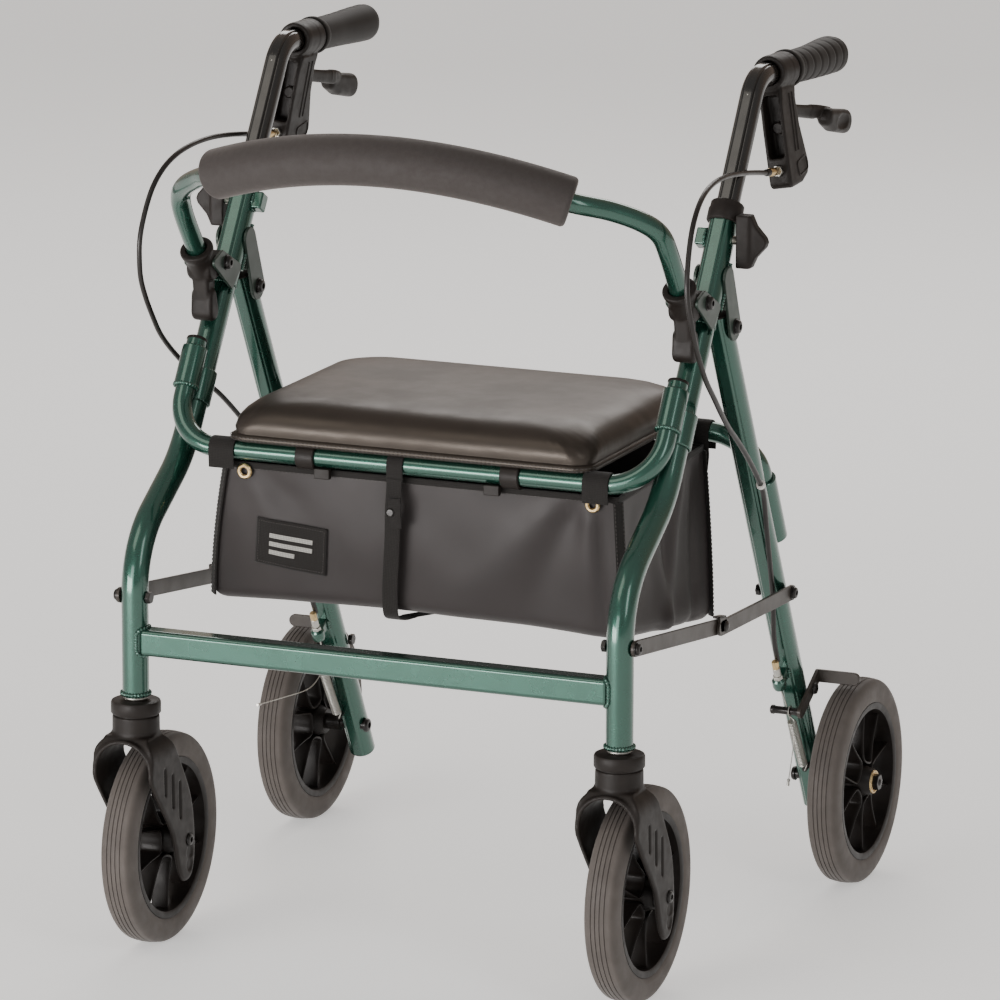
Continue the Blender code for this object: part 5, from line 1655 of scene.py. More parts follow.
def make_cushion():
    """A moulded foam seat in one vinyl skin: crowned top, rolled edges and a stitched flange below."""
    floor = SEAT_BOARD_Z - 0.0015
    middle_y = (SEAT_FRONT_Y + SEAT_BACK_Y) / 2
    half_y = (SEAT_BACK_Y - SEAT_FRONT_Y) / 2
    levels = [
        (0.0130, 0.0000, 0.020), (0.0035, 0.0001, 0.020), (0.0008, 0.0012, 0.020), (0.0000, 0.0034, 0.020),
        (0.0004, 0.0056, 0.020), (0.0020, 0.0068, 0.020), (0.0036, 0.0076, 0.020), (0.0034, 0.0094, 0.021),
        (0.0026, 0.0130, 0.023), (0.0030, 0.0180, 0.026), (0.0050, 0.0232, 0.029), (0.0088, 0.0282, 0.033),
        (0.0140, 0.0326, 0.036), (0.0204, 0.0361, 0.039), (0.0276, 0.0384, 0.040), (0.0360, 0.0396, 0.040),
        (0.0480, 0.0403, 0.038), (0.0640, 0.0408, 0.034), (0.0840, 0.0411, 0.026), (0.1060, 0.0413, 0.015),
        (0.1260, 0.0414, 0.006),
    ]
    count = 320
    rings = []
    for inset, rise, corner in levels:
        half_x = SEAT_HALF_WIDTH - inset
        outline = rounded_rectangle(half_x, middle_y - half_y + inset, middle_y + half_y - inset, corner)
        ring = []
        for point in evenly(outline, count):
            wrinkle = 0.0
            if 0.010 < rise < 0.034:
                share = sin(pi * (rise - 0.010) / 0.024)
                at_corner = exp(-(((abs(point.x) - half_x + 0.02) / 0.03) ** 2)) * exp(
                    -(((abs(point.y - middle_y) - half_y + inset + 0.02) / 0.03) ** 2)
                )
                ripple = noise.noise(Vector((point.x * 60, point.y * 60, rise * 30)))
                crease = at_corner * sin(point.x * 900 + point.y * 700)
                wrinkle = share * (0.0006 * ripple + 0.0010 * crease)
            out = Vector((point.x, point.y - middle_y, 0)).normalized()
            ring.append(Vector((point.x, point.y, floor + rise)) + out * wrinkle)
        rings.append(ring)
    cushion = shell_of_rings("seat_cushion_vinyl", rings, VINYL, "seat", smooth=60)
    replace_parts(cushion, "seat_cushion")
    for k, (out, rise) in enumerate(((0.0003, 0.0026), (0.0003, 0.0052))):
        outline = rounded_rectangle(
            SEAT_HALF_WIDTH + out, middle_y - half_y - out, middle_y + half_y + out, 0.020, 16
        )
        route = [Vector((p.x, p.y, floor + rise)) for p in evenly(outline, 360)]
        stitches(f"seat_stitches_{k}", route, 0.0042, 0.0034, 0.00042, THREAD, "seat", True)


def make_board():
    board = block(
        "seat_board_panel",
        (-0.172, -0.196, SEAT_BOARD_Z),
        (0.172, 0.066, SEAT_BOARD_Z + 0.006),
        PLASTIC,
        "seat",
        0.0012,
    )
    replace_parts(board, "seat_board")
    for k, (y, low, high) in enumerate(((-0.150, -0.15, 0.15), (0.020, -0.15, 0.15))):
        for j in range(7):
            x = low + (high - low) * j / 6
            place = along((x, y, SEAT_BOARD_Z), (0, 0, -1))
            screw_head(f"board_screw_{k}_{j}", place, 0.0032, 0.0014, ZINC, "seat")


def make_seat_hinge(name, side):
    x = side * SEAT_CLIP_X
    body = "seat"
    place = along((x, FRONT_RAIL.y, FRONT_RAIL.z), X_AXIS)
    half = 0.0092
    ring = lathe(
        f"hinge_ring_{name}",
        ring_profile([
            (0.0099, half), (0.0118, half), (0.0126, half - 0.0008), (0.0122, 0.0050), (0.0122, -0.0050),
            (0.0126, 0.0008 - half), (0.0118, -half), (0.0099, -half),
        ]),
        place,
        PLASTIC,
        None,
        56,
    )
    foot = block(
        f"hinge_foot_{name}",
        (x - half, FRONT_RAIL.y + 0.0085, FRONT_RAIL.z + 0.0025),
        (x + half, FRONT_RAIL.y + 0.0350, SEAT_BOARD_Z - 0.0002),
        PLASTIC,
        None,
        0.0008,
    )
    hinge = joined(f"seat_hinge_{name}_clip", [ring, foot], body)
    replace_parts(hinge, f"seat_hinge_{name}")
    screw_head(
        f"hinge_screw_{name}", along((x, FRONT_RAIL.y + 0.026, FRONT_RAIL.z + 0.0025), (0, 0, -1)), 0.0040,
        0.0018, ZINC,
        body,
    )


def make_rail_stop(name, side):
    """The square tab under the rail's front, just inward of each hinge and clear of the seat's swing."""
    x = side * 0.0858
    face_y = FRONT_RAIL.y - RAIL_RADIUS
    low = (x - 0.0078, face_y - 0.0011, 0.4570)
    high = (x + 0.0078, face_y + 0.0050, 0.4668)
    block(f"rail_stop_{name}", low, high, PLASTIC, "frame", 0.0009)


# Bag


def bag_front(z):
    share = (BAG_TOP_Z - z) / (BAG_TOP_Z - 0.3230)
    return -0.1905 + 0.0160 * share


def bag_back(z):
    return 0.0500 - 0.0050 * (BAG_TOP_Z - z) / (BAG_TOP_Z - 0.2940)


def bag_floor(x, y):
    """The floor drops towards the rear, and its front edge is drawn up between the corners."""
    share = (y + 0.1745) / 0.2195
    drawn_up = 0.0085 * (1 - ((x + 0.02) / 0.24) ** 2) * (1 - 0.7 * share)
    return 0.3230 - 0.0290 * share + max(0.0, drawn_up)


def bag_half_width(along_share, down, side):
    """The bag widens downward. At the mouth, one loop pulls the right side in more than the left."""
    front = (1 - along_share) / 2
    mouth = 0.1970 + (0.0105 if side > 0 else -0.0095) * front
    return mouth + (BAG_HALF_WIDTH - mouth) * (1 - (1 - min(1.0, down)) ** 1.5)


def bag_point(across_share, along_share, down, inset):
    """A place on the bag from its shares of the width and depth, from -1 to 1, and of the height."""
    y_low = bag_front(BAG_TOP_Z - down * 0.139)
    y_high = bag_back(BAG_TOP_Z - down * 0.168)
    y = y_low + inset + (y_high - y_low - 2 * inset) * (along_share + 1) / 2
    x = across_share * (bag_half_width(along_share, down, across_share) - inset)
    z = BAG_TOP_Z + (bag_floor(x, y) - BAG_TOP_Z) * down
    return Vector((x, y, z))


def bag_fold(point, face):
    """How far the cloth stands out from its panel: slack in the middle, folds from where it hangs."""
    down = (BAG_TOP_Z - point.z) / 0.150
    x = point.x / BAG_HALF_WIDTH
    if face == "front":
        slack = 0.0050 * sin(pi * min(1, max(0, down))) * (1 - x * x)
        folds = 0.0
        for start, lean, width, depth in (
            (-0.80, 0.30, 0.05, 0.0028), (-0.72, 0.62, 0.07, -0.0020), (0.86, -0.02, 0.035, 0.0050),
            (0.80, -0.30, 0.055, -0.0048), (0.93, 0.02, 0.04, -0.0030), (-0.06, 0.02, 0.05, -0.0022),
            (0.74, -0.62, 0.08, 0.0034),
        ):
            ridge = exp(-(((x - start - lean * down) / (width * (1 + 1.4 * down))) ** 2))
            folds += depth * ridge * exp(-down * 1.1) * min(1, down * 6)
        return slack + folds + 0.0012 * noise.noise(Vector((point.x * 16, point.z * 22, 3.1)))
    if face == "end":
        y = (point.y + 0.062) / 0.12
        slack = -0.0060 * sin(pi * min(1, max(0, down))) * (1 - min(1, y * y))
        folds = 0.0
        for start, lean, width, depth in ((0.45, -0.45, 0.10, 0.0042), (0.75, -0.20, 0.07, -0.0030),
                                          (-0.30, 0.35, 0.12, 0.0034), (0.05, 0.05, 0.10, -0.0026)):
            folds += depth * exp(-(((y - start - lean * down) / width) ** 2)) * min(1, down * 5)
        return slack + folds + 0.0010 * noise.noise(Vector((point.y * 30, point.z * 20, point.x * 5)))
    if face == "back":
        return 0.0040 * sin(pi * min(1, max(0, down))) * (1 - x * x) + 0.0012 * noise.noise(
            Vector((point.x * 14, point.z * 20, 9.7))
        )
    return 0.0


def make_bag():
    """One sewn shell: four slack walls, rounded lower edges and a floor that sags."""
    around = []
    per_long = 76
    per_short = 44
    for k in range(per_short):
        around.append((1, -1 + 2 * k / per_short, "end"))
    for k in range(per_long):
        around.append((1 - 2 * k / per_long, 1, "back"))
    for k in range(per_short):
        around.append((-1, 1 - 2 * k / per_short, "end"))
    for k in range(per_long):
        around.append((-1 + 2 * k / per_long, -1, "front"))
    edge = 0.012
    levels = [(k / 30 * 0.92, 0.0) for k in range(31)]
    for k in range(1, 7):
        angle = pi / 2 * k / 6
        levels.append((0.92 + 0.08 * sin(angle), edge * (1 - cos(angle))))
    rings = []
    for down, inset in levels:
        ring = []
        for a, b, face in around:
            point = bag_point(a, b, down, inset)
            out = {"front": -Y_AXIS, "back": Y_AXIS, "end": X_AXIS * a}[face]
            near_edge = min(1.0, (1 - min(abs(a) if face in ("front", "back") else abs(b), 1)) * 9)
            ring.append(point + out * (bag_fold(point, face) * near_edge))
        rings.append(ring)
    for step in range(1, 16):
        shrink = step / 16
        left = 1 - shrink
        ring = []
        for a, b, _ in around:
            low = bag_point(a * left, (b + 1) * left - 1 + shrink, 1.0, edge * left)
            sag = -0.0035 * (1 - left**2)
            ring.append(low + Vector((0, 0, sag + 0.0006 * noise.noise(low * 30))))
        rings.append(ring)
    bag = shell_of_rings("storage_bag_cloth", rings, NYLON, None, close_low=False, smooth=60)
    thicken(bag, 0.0016, -1)
    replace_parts(bag, "storage_bag")
    follow_fold(bag)
    bind_bag(around)


def follow_fold(piece):
    """Bakes the piece's placing into its mesh."""
    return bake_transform(piece)


def bind_bag(around):
    """Tape round the top hem and down the four corners."""
    hem = [bag_point(a, b, 0.006, -0.0003) for a, b, _ in around]
    piece = sweep("bag_hem", hem, oval(0.0030, 0.0012, 20, 4), WEBBING, None, Z_AXIS, None, True)
    follow_fold(piece)
    for name, side in SIDES.items():
        for label, depth in (("front", -1), ("rear", 1)):
            route = [bag_point(side, depth, 0.02 + 0.95 * k / 24, -0.0006) for k in range(25)]
            outward = (X_AXIS * side + Y_AXIS * depth).normalized()
            tape = sweep(
                f"bag_binding_{label}_{name}", route, oval(0.0012, 0.0052, 16, 3), WEBBING, None, outward
            )
            follow_fold(tape)
            for letter, sign in (("a", 1), ("b", -1)):
                row = [point + outward.cross(Z_AXIS) * (0.0040 * sign) + outward * 0.0013 for point in route]
                seam_name = f"bag_stitches_{label}_{letter}_{name}"
                follow_fold(stitches(seam_name, row, 0.0040, 0.0030, 0.00035, THREAD, None))
    row = [bag_point(a, b, 0.030, -0.0012) for a, b, _ in around]
    follow_fold(stitches("bag_hem_stitches", row, 0.0040, 0.0030, 0.00035, THREAD, None, True))


def strap_section(width):
    return oval(width / 2, 0.0008, 20, 5)


def make_rail_loop(name, x, width, rail, drop, body):
    """Webbing passed over a rail, hanging down in front of it and behind it."""
    radius = RAIL_RADIUS + 0.0012
    route = []
    front_y = rail.y - radius
    back_y = rail.y + radius
    for k in range(5):
        route.append(Vector((x, front_y + 0.0010 * (4 - k) / 4, rail.z - drop * (4 - k) / 4)))
    for k in range(1, 16):
        angle = pi - pi * k / 16
        route.append(Vector((x, rail.y + radius * cos(angle), rail.z + radius * sin(angle))))
    for k in range(5):
        route.append(Vector((x, back_y - 0.0010 * k / 4, rail.z - drop * k / 4)))
    return sweep(name, route, strap_section(width), WEBBING, body, X_AXIS)


def make_grommet(name, place, body):
    profile = ring_profile([
        (0.0034, 0.0006), (0.0044, 0.0018), (0.0062, 0.0019), (0.0074, 0.0010), (0.0078, -0.0002),
        (0.0034, -0.0002),
    ])
    return lathe(name, profile, place, BRASS, body, 40)


def make_bag_straps():
    rail = FRONT_RAIL
    radius = RAIL_RADIUS
    for name, side in SIDES.items():
        x = side * 0.1890
        make_rail_loop(f"bag_loop_front_{name}", x, 0.0260, rail, 0.0170, "frame")
        rear = Vector((0, rear_rail_point(REAR_RAIL_Z).y, REAR_RAIL_Z))
        make_rail_loop(f"bag_loop_rear_{name}", x, 0.0260, rear, 0.0190, "rear_frame")
        link = [
            Vector((x, bag_back(0.450) + 0.0030, 0.4400)), Vector((x, bag_back(0.450) + 0.0060, 0.4520)),
            Vector((x, rear.y - radius, REAR_RAIL_Z - 0.0120)),
        ]
        sweep(
            f"bag_tab_rear_{name}", smooth_route(link, 6), strap_section(0.026), WEBBING, "rear_frame",
            X_AXIS
        )
        centre = Vector((side * (0.1840 if side > 0 else 0.1680), bag_front(0.4560) - 0.0040, 0.4560))
        make_grommet(f"bag_grommet_{name}", along(centre, (0, -1, -0.1)), "frame")
    x = -0.0185
    over = make_rail_loop("bag_strap_over", x + 0.007, 0.0165, rail, 0.0150, "frame")
    drop = [
        Vector((x + 0.0070, rail.y - radius - 0.0012, 0.4640)),
        Vector((x + 0.0065, -0.2010, 0.4520)),
        Vector((x + 0.0060, -0.2030, 0.4340)),
        Vector((x + 0.0040, -0.1990, 0.4120)),
        Vector((x + 0.0020, -0.1965, 0.3900)),
        Vector((x - 0.0010, -0.1930, 0.3640)),
        Vector((x - 0.0040, -0.1865, 0.3410)),
        Vector((x - 0.0050, -0.1800, 0.3270)),
        Vector((x - 0.0040, -0.1660, 0.3215)),
        Vector((x - 0.0020, -0.1450, 0.3195)),
    ]
    sweep("bag_strap_front", smooth_route(drop, 6), strap_section(0.0155), WEBBING, "frame", X_AXIS)
    under = []
    for k in range(13):
        y = -0.1450 + 0.16 * k / 12
        under.append(Vector((x - 0.002, y, bag_floor(x, y) - 0.0070)))
    follow_fold(sweep("bag_strap_under", under, strap_section(0.0155), WEBBING, None, X_AXIS))
    flap = [
        Vector((x + 0.0085, -0.2042, 0.4460)),
        Vector((x + 0.0090, -0.2052, 0.4340)),
        Vector((x + 0.0095, -0.2035, 0.4180)),
    ]
    sweep("bag_strap_flap", smooth_route(flap, 6), strap_section(0.0120), WEBBING, "frame", X_AXIS)
    snap = [
        (0, 0.0022), (0.0030, 0.0021), (0.0040, 0.0012), (0.0044, 0.0002), (0.0044, -0.0004), (0, -0.0004)
    ]
    lathe(
        "bag_strap_snap", snap, along((x + 0.0050, -0.2052, 0.4330), (0, -1, 0.05)), BOLT_BLACK, "frame", 40
    )


def make_label():
    """A plain sewn patch with three bars, where the maker's patch would be."""
    upper_left = Vector((-0.1570, 0.4125))
    upper_right = Vector((-0.0855, 0.4060))
    lower_left = Vector((-0.1630, 0.3668))
    lower_right = Vector((-0.0900, 0.3595))
    count = 24
    bm = bmesh.new()
    uv_layer = bm.loops.layers.uv.new("UVMap")
    grid = []

    def spot(u, v, proud):
        low = lower_left.lerp(lower_right, u)
        high = upper_left.lerp(upper_right, u)
        x, z = low.lerp(high, v)
        base = Vector((x, bag_front(z), z))
        return base + Vector((0, -bag_fold(base, "front") - proud, 0))

    for j in range(count + 1):
        grid.append([bm.verts.new(spot(k / count, j / count, 0.0009)) for k in range(count + 1)])
    for j in range(count):
        for k in range(count):
            face = bm.faces.new((grid[j][k], grid[j][k + 1], grid[j + 1][k + 1], grid[j + 1][k]))
            for loop, (u, v) in zip(face.loops, ((k, j), (k + 1, j), (k + 1, j + 1), (k, j + 1))):
                loop[uv_layer].uv = (u / count * 0.072, v / count * 0.046)
    patch = from_bmesh("bag_patch", bm, WEBBING, None, 60)
    thicken(patch, 0.0012, 0)
    follow_fold(patch)
    border = []
    for u, v in ((0, 0), (1, 0), (1, 1), (0, 1), (0, 0)):
        border.append((0.04 + 0.92 * u, 0.06 + 0.88 * v))
    route = []
    for (ua, va), (ub, vb) in zip(border, border[1:]):
        route += [spot(ua + (ub - ua) * k / 16, va + (vb - va) * k / 16, 0.0017) for k in range(16)]
    follow_fold(stitches("bag_patch_stitches", route, 0.0026, 0.0021, 0.0003, THREAD, None, True))
    for k, (v, start, end) in enumerate(((0.66, 0.20, 0.80), (0.48, 0.20, 0.80), (0.30, 0.20, 0.56))):
        bar = [spot(start + (end - start) * j / 16, v, 0.0018) for j in range(17)]
        follow_fold(
            sweep(f"bag_patch_bar_{k}", bar, oval(0.0022, 0.0005, 16, 3), PATCH_THREAD, None, Z_AXIS)
        )


# Handles and brakes


def handle_direction():
    return (HANDLE_END - HANDLE_CORNER).normalized()


def on_handle(y):
    run = handle_direction()
    return HANDLE_CORNER + run * ((y - HANDLE_CORNER.y) / run.y)


def make_handle_tube(name, side):
    corners = [across(0, 1, leg_point(0.585)), HANDLE_CORNER, HANDLE_END]
    corners = [mirrored(corner, side) for corner in corners]
    route = refined(bent_route(corners, (0.035,), radians(3)), 0.01)
    body = f"handle_{name}"
    tube = sweep(
        f"handle_tube_{name}_bar", route, grooved_oval(0.0108, 0.0115, 0.0012), GLOSS_BLACK, body, X_AXIS
    )
    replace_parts(tube, f"handle_tube_{name}")
    hole = leg_point(0.800) + LEG_FORWARD * 0.0106
    dot = [(0, 0.0004), (0.0006, 0.0003), (0.0008, 0), (0, 0)]
    lathe(f"handle_pin_{name}", dot, along(across(0, side, hole), LEG_FORWARD), ZINC, body, 20)


def make_grip(name, side):
    """Finger rings round the outer side, a smooth palm side, and an end that flares inward and up."""
    start = on_handle(GRIP_START_Y)
    end = on_handle(GRIP_END_Y)
    length = (end - start).length
    base = 0.0155
    route = refined([mirrored(start, side), mirrored(end, side)], 0.0009)

    def shape(run, angle):
        outward = cos(angle) * side
        upward = -sin(angle)
        share = run / length
        radius = base + 0.0010 * sin(pi * min(1, share * 1.1))
        if run < 0.012:
            radius += 0.0030 * (1 - (run / 0.012) ** 3)
        flare = max(0.0, (share - 0.35) / 0.65)
        flare = flare * flare * (3 - 2 * flare)
        inward = max(0, -outward)
        radius += flare * (0.0010 + 0.0046 * inward + 0.0022 * max(0, upward))
        ring = 0.5 + 0.5 * cos(2 * pi * (run - 0.020) / 0.0185)
        if 0.018 < run < length - 0.016:
            radius -= 0.0009 * ring**6 * min(1.0, max(0.0, outward + 0.35) * 1.6)
        from_end = length - run
        rounding = 0.010 + 0.008 * inward
        if from_end < rounding:
            radius *= sqrt(max(0.04, 1 - ((rounding - from_end) / (rounding + 0.0002)) ** 2)) * 0.55 + 0.45
        if run < 0.0015:
            radius -= 0.0008 * (1 - run / 0.0015)
        return radius / base

    grip = sweep(
        f"hand_grip_{name}_rubber", route, circle(base, 72), GRIP, f"handle_{name}", X_AXIS, shape,
        smooth=50
    )
    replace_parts(grip, f"hand_grip_{name}")


def leaned(offset, side, point):
    """Where a place on the upright housing comes to once its foot leans outward."""
    hinge = Vector((side * LEG_X, 0, HOUSING_HINGE_Z))
    turn = Matrix.Rotation(-side * HOUSING_LEAN, 3, "Y")
    return hinge + turn @ (across(offset, side, point) - hinge)


def lean_piece(piece, side):
    hinge = Matrix.Translation((side * LEG_X, 0, HOUSING_HINGE_Z))
    turn = Matrix.Rotation(-side * HOUSING_LEAN, 4, "Y")
    piece.data.transform(hinge @ turn @ hinge.inverted())
    return piece


def make_housing(name, side):
    body = f"handle_{name}"
    outline = [
        (0.0905, 0.8030), (0.0850, 0.7880), (0.0825, 0.7620), (0.0800, 0.7120), (0.0836, 0.7080),
        (0.1121, 0.7090),
        (0.1281, 0.7150), (0.1338, 0.7240), (0.1313, 0.7350), (0.1246, 0.7630), (0.1240, 0.7880),
        (0.1285, 0.8020),
    ]
    slab = lean_piece(
        side_prism(f"housing_slab_{name}", outline, side, -0.0112, 0.0112, PLASTIC, None, 0.0022), side
    )
    start = mirrored(on_handle(0.0895), side)
    end = mirrored(on_handle(0.1300), side)
    length = (end - start).length
    ring_shape = [
        (0, length), (0.0164, length), (0.0171, length - 0.002), (0.0172, length - 0.014),
        (0.0168, length - 0.016),
        (0.0168, 0.006), (0.0160, 0.0), (0, 0),
    ]
    ring = lathe(f"housing_clamp_{name}", ring_shape, along(start, end - start), PLASTIC, None, 56)
    run = (end - start).normalized()
    bore_shape = [(0, 0.09), (0.0116, 0.09), (0.0116, -0.02), (0, -0.02)]
    bore = lathe(f"housing_bore_{name}", bore_shape, along(start - run * 0.01, run), PLASTIC, None, 40)
    recess = lean_piece(
        block(
            f"housing_recess_{name}",
            across(-0.0078, side, (0, 0.0700, 0.7370)),
            across(0.0078, side, (0, 0.0985, 0.7960)),
            PLASTIC,
            None,
            0.003,
        ),
        side,
    )
    slot = block(
        f"housing_slot_{name}",
        across(LEVER_OUT - 0.0042, side, (0, 0.1050, 0.7640)),
        across(LEVER_OUT + 0.0044, side, (0, 0.1600, 0.7920)),
        PLASTIC,
        None,
        0.001,
    )
    housing = moulded(
        f"brake_housing_{name}_body", [slab, ring], 0.0009, PLASTIC, body, [bore, recess, slot], 4
    )
    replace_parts(housing, f"brake_housing_{name}")
    disc = [(0, 0.0040), (0.0046, 0.0040), (0.0058, 0.0030), (0.0062, 0), (0, 0)]
    disc_place = along(leaned(0.0, side, (0, 0.0985, 0.7640)), (0, -1, 0))
    lathe(f"housing_pivot_{name}", disc, disc_place, PLASTIC, body, 40)
    barrel = leaned(0.0, side, (0, 0.0505, 0.7290))
    seat = leaned(0.0, side, (0, 0.0800, 0.7256))
    run = (barrel - seat).normalized()
    nut_place = along(seat - run * 0.0006, run)
    hex_nut(f"housing_nut_{name}", nut_place, 0.0056, 0.0046, ZINC, body)
    reach = (barrel - seat).length - 0.0095
    sleeve = [(0, reach), (0.0034, reach), (0.0040, reach - 0.001), (0.0040, 0.0010), (0.0034, 0), (0, 0)]
    lathe(f"housing_barrel_{name}", sleeve, lifted(nut_place, 0.0040), BRASS, body, 32)
    cap = [(0, 0.0080), (0.0028, 0.0080), (0.0034, 0.0070), (0.0036, 0.0004), (0.0030, 0), (0, 0)]
    lathe(f"cable_cap_{name}", cap, along(barrel - run * 0.0060, run), CABLE_SHEATH, body, 32)
    for label, sign in (("outer", 1), ("inner", -1)):
        face = 0.0112 * sign
        centre = Vector((0, 0.1150, 0.7245))
        tilt = Matrix.Rotation(radians(10), 3, "X")
        frame_route = [
            leaned(face, side, centre + tilt @ Vector((0, p.x, p.y)))
            for p in rounded_rectangle(0.0125, -0.0068, 0.0068, 0.0035, 5)
        ]
        sweep(
            f"housing_frame_{label}_{name}", frame_route, circle(0.0009, 8), PLASTIC, body, None, None, True
        )
        for k, y in enumerate((0.1075, 0.1150)):
            line = [
                leaned(face, side, (0, y - 0.004 + 0.004 * j / 6, 0.7400 + 0.055 * j / 6)) for j in range(7)
            ]
            sweep(f"housing_rib_{label}_{k}_{name}", line, circle(0.0008, 8), PLASTIC, body)


def make_lever(name, side):
    body = f"brake_lever_{name}"
    arm_line = smooth_route(
        [across(LEVER_OUT, side, point) for point in (
            LEVER_PIVOT, (0, 0.1400, 0.7745), (0, 0.1700, 0.7690), (0, 0.1960, 0.7645)
        )],
        6,
    )

    def slim(run, angle):
        return 1.0 - 0.10 * sin(pi * min(1, run / 0.08))

    arm = sweep(f"lever_arm_{name}", arm_line, oval(0.0038, 0.0070, 28, 3), PLASTIC, None, X_AXIS, slim)
    neck_line = smooth_route(
        [across(offset, side, point) for offset, point in (
            (0.0068, (0, 0.1850, 0.7670)), (0.0095, (0, 0.2020, 0.7640)), (0.0130, (0, 0.2190, 0.7600))
        )],
        4,
    )
    neck = sweep(f"lever_neck_{name}", neck_line, oval(0.0042, 0.0066, 24, 3), PLASTIC, None, X_AXIS)
    spoon_outline = disc_hull((0.2070, 0.7580, 0.0088), (0.2210, 0.7525, 0.0104), (0.2510, 0.7475, 0.0118))
    spoon = side_prism(f"lever_spoon_{name}", spoon_outline, side, 0.0082, 0.0236, PLASTIC, None, 0.0058, 6)
    dish_shape = []
    for k in range(13):
        angle = pi * k / 12
        dish_shape.append((0.0180 * sin(angle), 0.0052 * cos(angle)))
    dish_z = 0.7500
    dish_place = along(across(0.0258, side, (0, 0.2340, dish_z)), X_AXIS)
    dish = lathe(f"lever_dish_{name}", dish_shape, dish_place, PLASTIC, None, 40)
    flatten = Matrix.Diagonal((1, 1, 0.52, 1))
    dish.data.transform(Matrix.Translation((0, 0, dish_z)) @ flatten @ Matrix.Translation((0, 0, -dish_z)))
    lever = moulded(f"brake_lever_{name}_blade", [arm, neck, spoon], 0.0008, PLASTIC, body, [dish], 7)
    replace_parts(lever, f"brake_lever_{name}")


def make_brake_arm(name, side):
    body = f"brake_arm_{name}"
    half_width = 0.0062
    arm_outline = disc_hull((ARM_PIN.y, ARM_PIN.z, half_width), (ARM_ELBOW.y, ARM_ELBOW.z, half_width))
    arm = side_prism(f"arm_bar_{name}", arm_outline, side, 0.0140, 0.0180, BLACK_PAINT, None, 0.0008)
    shoe_outline = []
    reach = 0.0600
    for k in range(13):
        angle = pi / 2 - pi * k / 12
        shoe_outline.append((reach - half_width + half_width * cos(angle), half_width * sin(angle)))
    shoe_outline += [(0.0140, -half_width), (0.0140, half_width)]
    shoe_place = Matrix(
        ((side, 0, 0, side * LEG_X), (0, 0, 1, ARM_ELBOW.y), (0, 1, 0, ARM_ELBOW.z), (0, 0, 0, 1))
    )
    shoe = prism(f"arm_shoe_{name}", shoe_outline, 0.0044, shoe_place, BLACK_PAINT, None, 0.0008)
    whole = joined(f"brake_arm_{name}_crank", [arm, shoe], body)
    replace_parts(whole, f"brake_arm_{name}")
    pin = [
        (0, 0.0310), (0.0030, 0.0310), (0.0044, 0.0300), (0.0046, 0.0275), (0.0038, 0.0262),
        (0.0038, 0.0050),
        (0.0044, 0.0040), (0.0044, 0), (0, 0),
    ]
    lathe(
        f"brake_pin_{name}", pin, along(across(0.0160, side, ARM_PIN), (-side, 0, 0)), BOLT_BLACK, body, 32
    )
    pivot = along(across(0.0180, side, ARM_PIVOT), (side, 0, 0))
    screw_head(f"arm_bolt_{name}", pivot, 0.0056, 0.0034, BOLT_BLACK, body)
    hex_nut(
        f"arm_nut_{name}", along(across(-0.0126, side, ARM_PIVOT), (-side, 0, 0)), 0.0058, 0.0044,
        BOLT_BLACK, body
    )
    hook = ring_points(across(0.0050, side, ARM_PIN), X_AXIS, 0.0050, 40)
    sweep(f"spring_hook_{name}", hook, circle(0.0006, 8), ZINC, body, None, None, True)


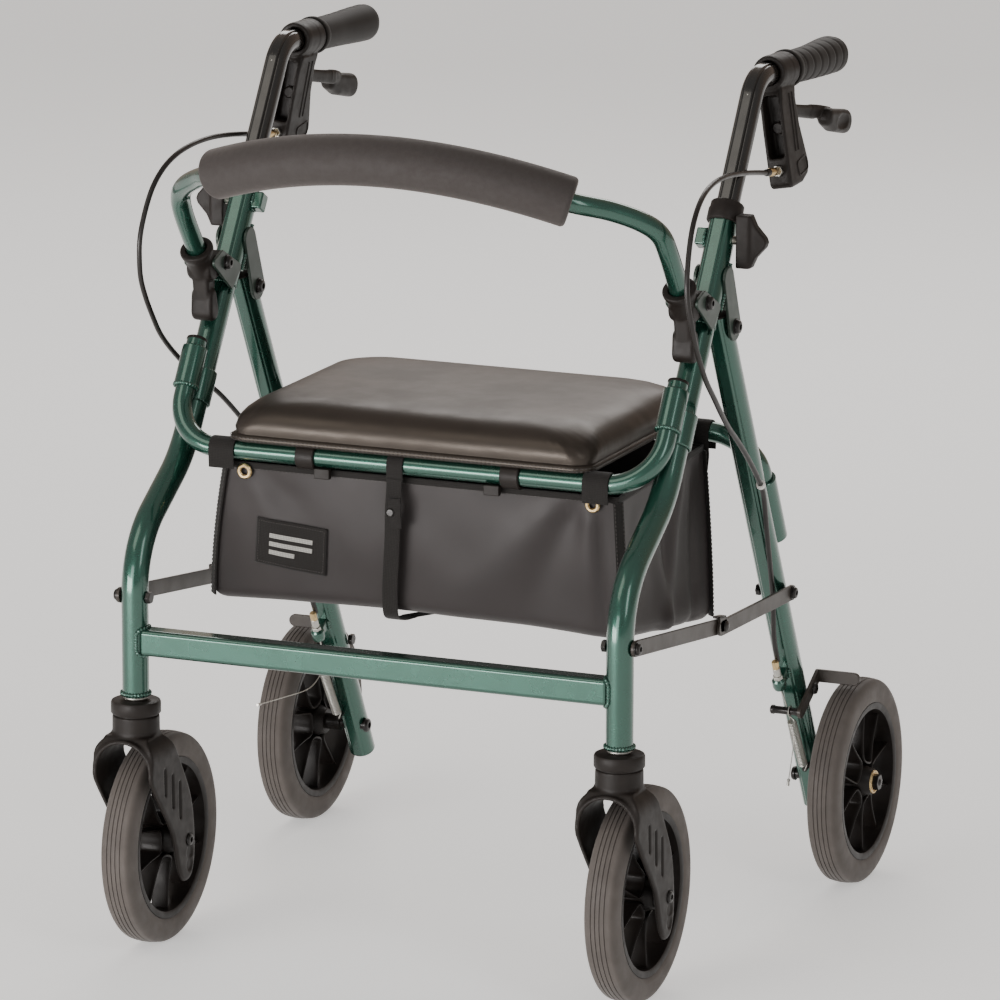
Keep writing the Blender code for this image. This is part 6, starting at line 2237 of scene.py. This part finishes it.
def make_spring(name, side):
    """The return spring from the brake pin down to a hook low on the rear leg."""
    top = across(0.0050, side, (0, 0.1585, 0.1760))
    foot = across(0.0050, side, (0, 0.1990, 0.1140))
    run = foot - top
    axis = run.normalized()
    side_way = X_AXIS
    up_way = axis.cross(side_way).normalized()
    coils = 30
    per_coil = 14
    radius = 0.0040
    points = [top - axis * 0.001]
    for k in range(coils * per_coil + 1):
        share = k / (coils * per_coil)
        angle = 2 * pi * k / per_coil
        centre = top + run * (0.08 + 0.84 * share)
        points.append(centre + side_way * (radius * cos(angle)) + up_way * (radius * sin(angle)))
    points.append(foot + axis * 0.002)
    sweep(f"brake_spring_{name}", points, circle(0.00068, 6), ZINC, "rear_frame", None, smooth=80)
    hook_place = along(foot + axis * 0.001, Vector((0, 1, 0.3)))
    hook = [(0, 0.0150), (0.0022, 0.0150), (0.0026, 0.0140), (0.0026, 0), (0, 0)]
    lathe(f"spring_anchor_{name}", hook, hook_place, BOLT_BLACK, "rear_frame", 20)


# Assembly


def build_side(name, side):
    make_leg(name, side)
    make_leg_brackets(name, side)
    make_rail_joint(name, side)
    make_rear_leg(name, side)
    make_cable_stop(name, side)
    make_cable(name, side)
    make_collar(name, side)
    make_knob(name, side)
    make_caster_stem(name, side)
    make_fork(name, side)
    make_caster_axle(name, side)
    front_wheel = (side * LEG_X, FRONT_AXLE_Y, AXLE_Z)
    rear_wheel = (side * REAR_WHEEL_X, REAR_AXLE_Y, AXLE_Z)
    for label, centre, half_length in (("front", front_wheel, 0.0200), ("rear", rear_wheel, 0.0190)):
        body = f"{label}_wheel_{name}"
        make_tyre(f"{label}_tyre_{name}_rubber", f"{label}_tyre_{name}", centre, side, body)
        make_hub(f"{label}_hub_{name}", f"{label}_hub_{name}", centre, side, half_length, body)
    make_rear_axle(name, side)
    make_front_link(name, side)
    make_rear_link(name, side)
    make_socket(name, side)
    make_seat_hinge(name, side)
    make_rail_stop(name, side)
    make_handle_tube(name, side)
    make_grip(name, side)
    make_housing(name, side)
    make_lever(name, side)
    make_brake_arm(name, side)
    make_spring(name, side)


make_camera()
make_studio()
make_cross_bar()
top_of_rail = leg_point(0.5498) + LEG_FORWARD * RAIL_OFFSET
make_rail("front_seat_rail", "front_rail", top_of_rail, FRONT_RAIL, "frame")
make_rail("rear_seat_rail", "rear_rail", rear_rail_point(0.366), rear_rail_point(REAR_RAIL_Z), "rear_frame")
for side_name, side_sign in SIDES.items():
    build_side(side_name, side_sign)
make_backrest()
make_cushion()
make_board()
make_bag()
make_bag_straps()
make_label()
